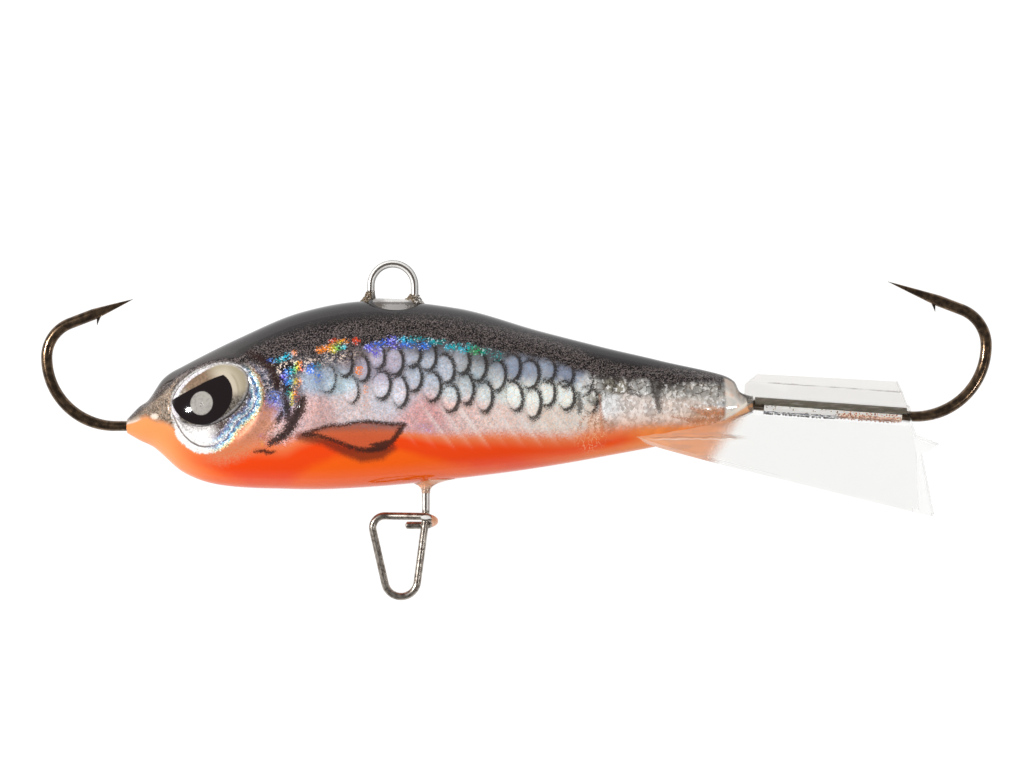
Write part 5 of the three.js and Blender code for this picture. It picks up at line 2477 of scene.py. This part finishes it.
@dataclass(frozen=True)
class ClearLacquer:
    """Lacquer drawn out thin: clear, browned on the back and tinged with orange under the belly."""

    back: Colour = srgb(214, 208, 200)
    brown: Colour = srgb(96, 80, 62)
    belly: Colour = srgb(255, 218, 192)
    near_belly: Colour = srgb(250, 170, 122)

    def material(self) -> bpy.types.Material:
        """Builds the finish.

        Returns:
            The material.
        """
        shader = Shader("clear_lacquer")
        place = shader.place()
        x, y, _ = shader.split(place)
        grain = shader.noise(place, 3.0, 4)
        stain = grain.soft(0.46, 0.6) * (1 - x.soft(18.9, 19.1))
        upper = shader.layer(stain, self.back, self.brown)
        clear = shader.surface(
            Base_Color=shader.layer(y.soft(-1.0, 1.0), self.belly, upper),
            Roughness=0.04,
            IOR=1.3,
            Transmission_Weight=1.0,
        )
        close = (y + (grain - 0.5) * 0.6).soft(-5.2, -4.55)
        tinged = shader.layer(close, self.belly, self.near_belly)
        film = shader.surface(Base_Color=tinged, Roughness=0.3, Coat_Weight=0.4, Coat_Roughness=0.03)
        cloudy = (1 - y.soft(-1.0, 1.0)) * (close * 0.62 + 0.3)
        return shader.finish(shader.blend(cloudy, clear, film))


@dataclass(frozen=True)
class DriedGlue:
    """Pale glue with bubbles and specks in it, browner towards the tail, its ribbon given a faint painted
    glow, and a dark sheet of painted shade over the shank.
    """

    pale: Colour = srgb(255, 252, 248)
    tan: Colour = srgb(255, 228, 208)
    brown: Colour = srgb(196, 130, 98)
    dark: Colour = srgb(96, 92, 90)
    # Colours of the sheet of painted shade over the shank.
    shade: Colour = srgb(122, 114, 100)
    # How brightly the ribbon glows: painted light.
    painted_glow: float = 0.3
    edge_grey: Colour = srgb(112, 116, 124)
    edge_brown: Colour = srgb(160, 120, 98)
    shade_pale: Colour = srgb(196, 190, 180)
    browner: Pair = (56.4, 57.2)

    def material(self) -> bpy.types.Material:
        """Builds the ribbon's finish.

        Returns:
            The material.
        """
        shader = Shader("dried_glue")
        place = shader.place()
        x, y, _ = shader.split(place)
        speck, _, _ = shader.cells(place, 7.0)
        streak = shader.noise(shader.stretched(place, (0.6, 2.0, 1.0)), 5.0, 3)
        far = x.soft(*self.browner)
        drop = 0 - TAIL_SHANK.over(x, y)
        low = drop.soft(0.08, 0.26)
        colour = shader.layer(far * (0.25 + low * 0.75), self.pale, self.tan)
        spots = shader.layer(far, self.dark, self.brown)
        colour = shader.layer((speck - 0.86 + far * low * 0.36).soft(0.0, 0.1) * 0.6, colour, spots)
        edge = shader.layer(far, self.edge_grey, self.edge_brown)
        colour = shader.layer(drop.soft(0.34, 0.4) * streak.soft(0.38, 0.52), colour, edge)
        # Painted light: the ribbon glows faintly so it looks brighter inside the clear fin.
        surface = shader.surface(
            Base_Color=colour, Roughness=0.3, Emission_Color=colour, Emission_Strength=self.painted_glow,
        )
        return shader.finish(surface)

    def shade_material(self) -> bpy.types.Material:
        """Builds the finish of the thin dark sheet of painted shade over the shank's upper edge.

        Returns:
            The material.
        """
        shader = Shader("shank_shade_sheet")
        streak = shader.noise(shader.stretched(shader.place(), (0.5, 4.0, 1.0)), 2.0, 3)
        colour = shader.layer(streak.soft(0.48, 0.7) * 0.5, self.shade, self.shade_pale)
        return shader.finish(shader.surface(Base_Color=colour, Roughness=0.3))

    def bubble_material(self) -> bpy.types.Material:
        """Builds the bubbles' finish.

        Returns:
            The material.
        """
        shader = Shader("glue_bubbles")
        place = shader.place()
        x, _, _ = shader.split(place)
        far = x.soft(*self.browner)
        lit = shader.noise(place, 6.0, 2).soft(0.5, 0.62)
        colour = shader.layer(lit * 0.7, shader.layer(far, self.dark, self.brown), self.pale)
        return shader.finish(shader.surface(Base_Color=colour, Roughness=0.15, Coat_Weight=0.5))


@dataclass(frozen=True)
class BrownCrust:
    """Lumps of browned lacquer and glitter, glossy and speckled."""

    dark: Colour = srgb(82, 68, 52)
    tan: Colour = srgb(150, 130, 104)
    glitter: Colour = srgb(226, 220, 212)

    def material(self) -> bpy.types.Material:
        """Builds the finish.

        Returns:
            The material.
        """
        shader = Shader("brown_crust")
        place = shader.place()
        x, _, _ = shader.split(place)
        flake, speck, _ = shader.cells(place, 10.0)
        pale = x.soft(22.75, 23.2)
        colour = shader.layer(flake, self.dark, self.tan)
        colour = shader.layer((speck - 0.93 + pale * 0.6).soft(0.0, 0.1), colour, self.glitter)
        surface = shader.surface(Base_Color=colour, Roughness=0.6, Coat_Weight=0.25, Coat_Roughness=0.1)
        return shader.finish(surface)


class Strewing(GeometryTree):
    """Strews small round lumps over a patch of surface."""

    place_seed = 7
    size_seed = 3
    ball_detail = 3

    def __init__(self) -> None:
        """Lays out the tree: points on the patch, a smooth ball on each, finish."""
        super().__init__("strewing", Density="Float", Smallest="Float", Largest="Float", Finish="Material")
        given = self.given
        points = self.add(
            "GeometryNodeDistributePointsOnFaces", Mesh=given["Geometry"], Density=given["Density"],
            Seed=self.place_seed,
        )
        size = self.add(
            "FunctionNodeRandomValue", {"data_type": "FLOAT"}, Min=given["Smallest"], Max=given["Largest"],
            Seed=self.size_seed,
        )
        ball = self.add("GeometryNodeMeshIcoSphere", Radius=1.0, Subdivisions=self.ball_detail)
        smooth = self.add("GeometryNodeSetShadeSmooth", Geometry=ball.outputs["Mesh"])
        strewn = self.add(
            "GeometryNodeInstanceOnPoints", Points=points.outputs["Points"], Instance=smooth.outputs[0],
            Scale=next(out for out in size.outputs if out.enabled),
        )
        self.end(strewn.outputs[0])

    def strew(
        self, name: str, patch: Shape, per_square_mm: float, radii: Pair, finish: bpy.types.Material,
    ) -> bpy.types.Mesh:
        """Strews lumps over a patch.

        Args:
            name: The mesh's name.
            patch: The patch's points, in fish millimetres, and its faces.
            per_square_mm: Lumps to the square millimetre.
            radii: The smallest and the largest radius, in millimetres.
            finish: Their material.

        Returns:
            The mesh.
        """
        return self.run(
            mesh_from(name + "_patch", *patch, finish), name, Density=per_square_mm / MM ** 2,
            Smallest=radii[0] * MM, Largest=radii[1] * MM, Finish=finish,
        )


@dataclass(frozen=True)
class GlueSeam:
    """Glue along the front of the hook's shank inside the fin, with a row of bubbles under it, and a thin
    dark sheet of painted shade over the shank's upper edge.
    """

    outer: float = 0.68
    inner: float = 0.6
    ribbon: Band = (0.9, 11.9, -6.0, 50.0)
    shade: Band = (0.15, 12.3, -66.0, -9.0)
    near_row: Band = (0.9, 6.6, 60.0, 76.0)
    far_band: Band = (6.6, 11.8, -2.0, 72.0)
    edge_seed: int = 21

    def arc(self, along: float, degrees: np.ndarray, radius: float) -> np.ndarray:
        """Points round the shank, from its front down towards the belly.

        Args:
            along: Distance along the shank from the body's end.
            degrees: Angles from straight out of the left flank.
            radius: Distance from the shank's middle.

        Returns:
            Rows of x, y and z.
        """
        turn = math.radians(TAIL_SHANK.slope)
        root_x, root_y = TAIL_SHANK.root
        angles = np.radians(degrees)
        down = radius * np.sin(angles)
        return np.column_stack([
            root_x + along * math.cos(turn) + down * math.sin(turn),
            root_y + along * math.sin(turn) - down * math.cos(turn),
            radius * np.cos(angles),
        ])

    def patch(self, reach: Band) -> Shape:
        """A curved sheet to strew bubbles on.

        Args:
            reach: Where it starts and ends along the shank, and its two angles.

        Returns:
            Points and faces.
        """
        start, end, first, last = reach
        steps, sides = 24, 5
        span = np.linspace(first, last, sides)
        rows = [self.arc(t, span, self.outer) for t in np.linspace(start, end, steps)]
        return np.vstack(rows), sheet_faces(steps, sides)

    def strip(self, reach: Band) -> Shape:
        """A thin curved strip of glue with an uneven edge.

        Args:
            reach: Where it starts and ends along the shank, and its two angles.

        Returns:
            Points and faces.
        """
        start, end, first, last = reach
        draws = np.random.default_rng(self.edge_seed)
        steps, sides = 60, 8
        rows = []
        for t in np.linspace(start, end, steps):
            span = np.linspace(first, last + draws.uniform(-4, 4), sides)
            rows += [self.arc(t, span, self.outer), self.arc(t, span[::-1], self.inner)]
        return np.vstack(rows), tube_faces(steps, 2 * sides)

    def dress(self, strewing: Strewing, glue: DriedGlue) -> list[bpy.types.Object]:
        """Adds the glue, its bubbles and the sheet of painted shade to the scene.

        Args:
            strewing: The tree that strews lumps.
            glue: The glue's finish.

        Returns:
            The objects.
        """
        bubbles = glue.bubble_material()
        meshes = (
            mesh_from("glue_ribbon", *self.strip(self.ribbon), glue.material()),
            # A thin dark sheet of painted shade over the shank's upper edge.
            mesh_from("shank_shade_sheet", *self.strip(self.shade), glue.shade_material()),
            strewing.strew("near_bubbles", self.patch(self.near_row), 70.0, (0.04, 0.09), bubbles),
            strewing.strew("far_bubbles", self.patch(self.far_band), 34.0, (0.03, 0.075), bubbles),
        )
        return [Piece(mesh.name, mesh, "clear_plastic").register() for mesh in meshes]


@dataclass(frozen=True)
class Crust:
    """Lumps that dried where the lacquer crept up one of the line eye's legs."""

    name: str
    x: float
    low: float
    high: float
    foot: float
    arc: Pair
    per_square_mm: float
    radii: Pair
    top: float = 0.36
    slim: float = 0.8

    def patch(self, steps: int = 10, sides: int = 12) -> Shape:
        """A flared sheet round part of the leg, whose angles count from the tail's side.

        Args:
            steps: Rows up its height.
            sides: Points in each row.

        Returns:
            Points and faces.
        """
        angles = np.radians(np.linspace(*self.arc, sides))
        rows = []
        for t in np.linspace(0, 1, steps):
            radius = self.top + (self.foot - self.top) * (1 - t) ** 1.6
            height = np.full(sides, self.low + (self.high - self.low) * t)
            rows.append(np.column_stack([
                self.x + radius * np.cos(angles), height, self.slim * radius * np.sin(angles),
            ]))
        return np.vstack(rows), sheet_faces(steps, sides)

    def dress(self, strewing: Strewing, finish: bpy.types.Material) -> bpy.types.Object:
        """Adds the crust to the scene."""
        mesh = strewing.strew(self.name, self.patch(), self.per_square_mm, self.radii, finish)
        return Piece(self.name, mesh, "lacquered_body").register()


CRUSTS = (
    Crust("rear_crust", 22.93, 9.72, 10.45, 1.35, arc=(75, 250), per_square_mm=90.0, radii=(0.03, 0.085)),
    Crust("glassy_crust", 22.93, 9.45, 10.4, 1.0, arc=(-30, 80), per_square_mm=40.0, radii=(0.04, 0.1)),
    Crust("front_crust", 19.43, 9.75, 10.65, 0.95, arc=(80, 250), per_square_mm=130.0, radii=(0.03, 0.07)),
)


@dataclass(frozen=True)
class ClearPlastic:
    """Clear moulded plastic with a mist of orange paint at its root, a crease in the mist with painted shade
    and a painted highlight, and grey drawn on its eased edges.
    """

    keel_tint: Colour = srgb(234, 232, 229)
    wing_tint: Colour = srgb(250, 250, 249)
    mist: Colour = srgb(255, 186, 140)
    mist_streak: Colour = srgb(222, 172, 148)
    # Painted shade of the crease in the mist.
    crease: Colour = srgb(150, 122, 108)
    edge_line_grey: Colour = srgb(176, 172, 167)
    crease_highlight: Colour = srgb(255, 240, 226)

    def material(self) -> bpy.types.Material:
        """Builds the finish.

        Returns:
            The material.
        """
        shader = Shader("clear_plastic")
        place = shader.place()
        x, y, _ = shader.split(place)
        grain = shader.noise(place, 7.0, 3)
        waves = shader.noise(place, 0.8, 2)
        over = TAIL_SHANK.over(x, y)
        clear = shader.surface(
            Base_Color=shader.layer(over.soft(-0.6, 0.6), self.wing_tint, self.keel_tint),
            Roughness=0.03,
            IOR=1.18,
            Transmission_Weight=1.0,
            Normal=shader.bump(waves, 0.02, 0.3),
        )
        drawn_out = shader.noise(shader.stretched(place, (0.35, 3.0, 1.0)), 1.0, 3)
        mist = shader.layer((drawn_out - 0.5).soft(0.0, 0.12) * 0.5, self.mist, self.mist_streak)
        wander = y + 0.95 + (waves - 0.5) * 0.4
        behind = x.soft(41.0, 42.5)
        # Painted shade along a crease in the mist, with a painted highlight beside it.
        crease = self.line(wander, 0.03) * behind
        bright = self.line(wander + 0.15, 0.04) * behind
        mist = shader.layer(crease * 0.7, mist, self.crease)
        mist = shader.layer(bright * 0.8, mist, self.crease_highlight)
        slant = x - (y + 0.94) * 0.7 + (grain - 0.5) * 0.8
        near = (1 - slant.soft(46.2, 48.6)) * (0.8 - slant.soft(42.0, 47.0) * 0.2) * (1 - y.soft(0.9, 1.5))
        near = near.most(crease.most(bright) * 0.6 * (1 - x.soft(48.0, 49.6)))
        scratch = self.line(over - 1.88 + (grain - 0.5) * 0.1, 0.05) * (drawn_out - 0.4).soft(0.0, 0.2) * 0.5
        scratch = scratch * x.soft(51.0, 51.6)
        # Grey drawn on the narrow faces of the eased edges, broken up by grain, and along the scratch line.
        grey_edges = (shader.attribute("moulded_edge") * (0.3 + (grain - 0.4).soft(0.0, 0.3) * 0.5)).most(scratch)
        paint = shader.surface(
            Base_Color=shader.layer(grey_edges.soft(0.0, 0.05) * (1 - near), mist, self.edge_line_grey),
            Roughness=0.4,
            Coat_Weight=0.6,
            Coat_Roughness=0.1,
        )
        return shader.finish(shader.blend(near.most(grey_edges), clear, paint))

    @staticmethod
    def line(away: Value, half: float) -> Value:
        """A soft line where a distance is near 0."""
        return 1 - away.magnitude().soft(half * 0.4, half * 1.4)


@dataclass(frozen=True)
class Lamp:
    """A small round softbox."""

    name: str
    towards: Triple
    size: float
    power: float


@dataclass
class Studio:
    """Floor, light and camera."""

    camera_height: float = 150.0
    camera_over: Pair = (30.72, 3.28)
    view_width: float = 81.92
    sensor: float = 36.0
    floor_half: float = 1.2
    surround: float = 1.0
    overhead: float = 0.3
    lamp_distance: float = 0.4
    floor_grey: Colour = (0.1, 0.1, 0.1, 1.0)
    floor_white: Colour = (1.0, 1.0, 1.0, 1.0)
    floor_light: float = 0.98
    lamps: tuple[Lamp, ...] = (
        Lamp("key", (-0.69, 0.17, 0.71), size=0.02, power=1.45),
        Lamp("fill", (0.62, -0.2, 0.76), size=0.03, power=0.16),
    )

    def camera(self) -> None:
        """Hangs the camera straight over the jig."""
        data = bpy.data.cameras.new("camera")
        data.sensor_width = self.sensor
        data.lens = self.sensor * self.camera_height / self.view_width
        data.clip_start = 0.005
        made = bpy.data.objects.new("camera", data)
        over = SPACE.metres(np.array([[*self.camera_over, self.camera_height]]))[0]
        made.location = over.tolist()
        bpy.context.scene.collection.objects.link(made)
        bpy.context.scene.camera = made

    def floor(self) -> None:
        """Lays a plain pale floor."""
        half = self.floor_half
        mesh = bpy.data.meshes.new("floor")
        corners = [(-half, -half, 0), (half, -half, 0), (half, half, 0), (-half, half, 0)]
        mesh.from_pydata(corners, [], [(0, 1, 2, 3)])
        shader = Shader("pale_floor")
        surface = shader.surface(
            Base_Color=self.floor_grey, Roughness=1.0, Emission_Color=self.floor_white,
            Emission_Strength=self.floor_light,
        )
        mesh.materials.append(shader.finish(surface))
        made = bpy.data.objects.new("floor", mesh)
        bpy.context.scene.collection.objects.link(made)
        made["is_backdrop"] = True

    def world(self) -> None:
        """Surrounds the jig with a white tent that is open overhead."""
        world = bpy.data.worlds.new("tent")
        bpy.context.scene.world = world
        world.use_nodes = True
        tree = world.node_tree
        tree.nodes.clear()
        coordinates = tree.nodes.new("ShaderNodeTexCoord")
        parts = tree.nodes.new("ShaderNodeSeparateXYZ")
        tree.links.new(coordinates.outputs["Generated"], parts.inputs[0])
        opening = tree.nodes.new("ShaderNodeMapRange")
        opening.interpolation_type = "SMOOTHSTEP"
        levels = {"From Min": 0.05, "From Max": 0.5, "To Min": self.surround, "To Max": self.overhead}
        for name, level in levels.items():
            opening.inputs[name].default_value = level
        tree.links.new(parts.outputs["Z"], opening.inputs["Value"])
        background = tree.nodes.new("ShaderNodeBackground")
        tree.links.new(opening.outputs[0], background.inputs["Strength"])
        output = tree.nodes.new("ShaderNodeOutputWorld")
        tree.links.new(background.outputs[0], output.inputs["Surface"])

    def light(self, lamp: Lamp) -> None:
        """Adds a small soft lamp for the points of light on lacquer and wire.

        Args:
            lamp: Its direction, size and power.
        """
        data = bpy.data.lights.new(lamp.name, "AREA")
        data.shape = "DISK"
        data.size = lamp.size
        data.energy = lamp.power
        made = bpy.data.objects.new(lamp.name, data)
        towards = Vector(lamp.towards).normalized()
        made.location = towards * self.lamp_distance
        made.rotation_euler = (-towards).to_track_quat("-Z", "Y").to_euler()
        bpy.context.scene.collection.objects.link(made)

    def build(self) -> None:
        """Sets up the studio."""
        bpy.context.scene.view_settings.view_transform = "Standard"
        self.camera()
        self.floor()
        self.world()
        for lamp in self.lamps:
            self.light(lamp)


def write_sizes() -> None:
    """Works out the box of the solids and the box of the dressed jig."""
    def plain(box: tuple) -> list:
        """A box as plain lists."""
        return [[float(level) for level in corner] for corner in box]

    {"cad": plain(cad_box), "visual": plain(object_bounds())}


def main() -> None:
    """Builds and dresses the jig, piece by piece."""
    logging.basicConfig(level=logging.INFO, format="%(name)s: %(message)s")
    Studio().build()
    body = MinnowBody()
    body.dress(LacqueredFoil().material())
    eye_print = PrintedEye().material()
    DomedEye(1, "left_eye").dress(body, eye_print)
    DomedEye(-1, "right_eye").dress(body, eye_print)
    sweep = WireSweep()
    bronze = BronzedSteel().material()
    for hook in HOOKS:
        hook.dress(sweep, bronze)
    RoundWires().dress(sweep, StainlessWire().material())
    LacquerCollars().dress(ClearLacquer().material())
    strewing = Strewing()
    browned = BrownCrust().material()
    for crust in CRUSTS:
        crust.dress(strewing, browned)
    ClearFin().dress(ClearPlastic().material())
    GlueSeam().dress(strewing, DriedGlue())
    write_sizes()


if __name__ == "__main__":
    main()
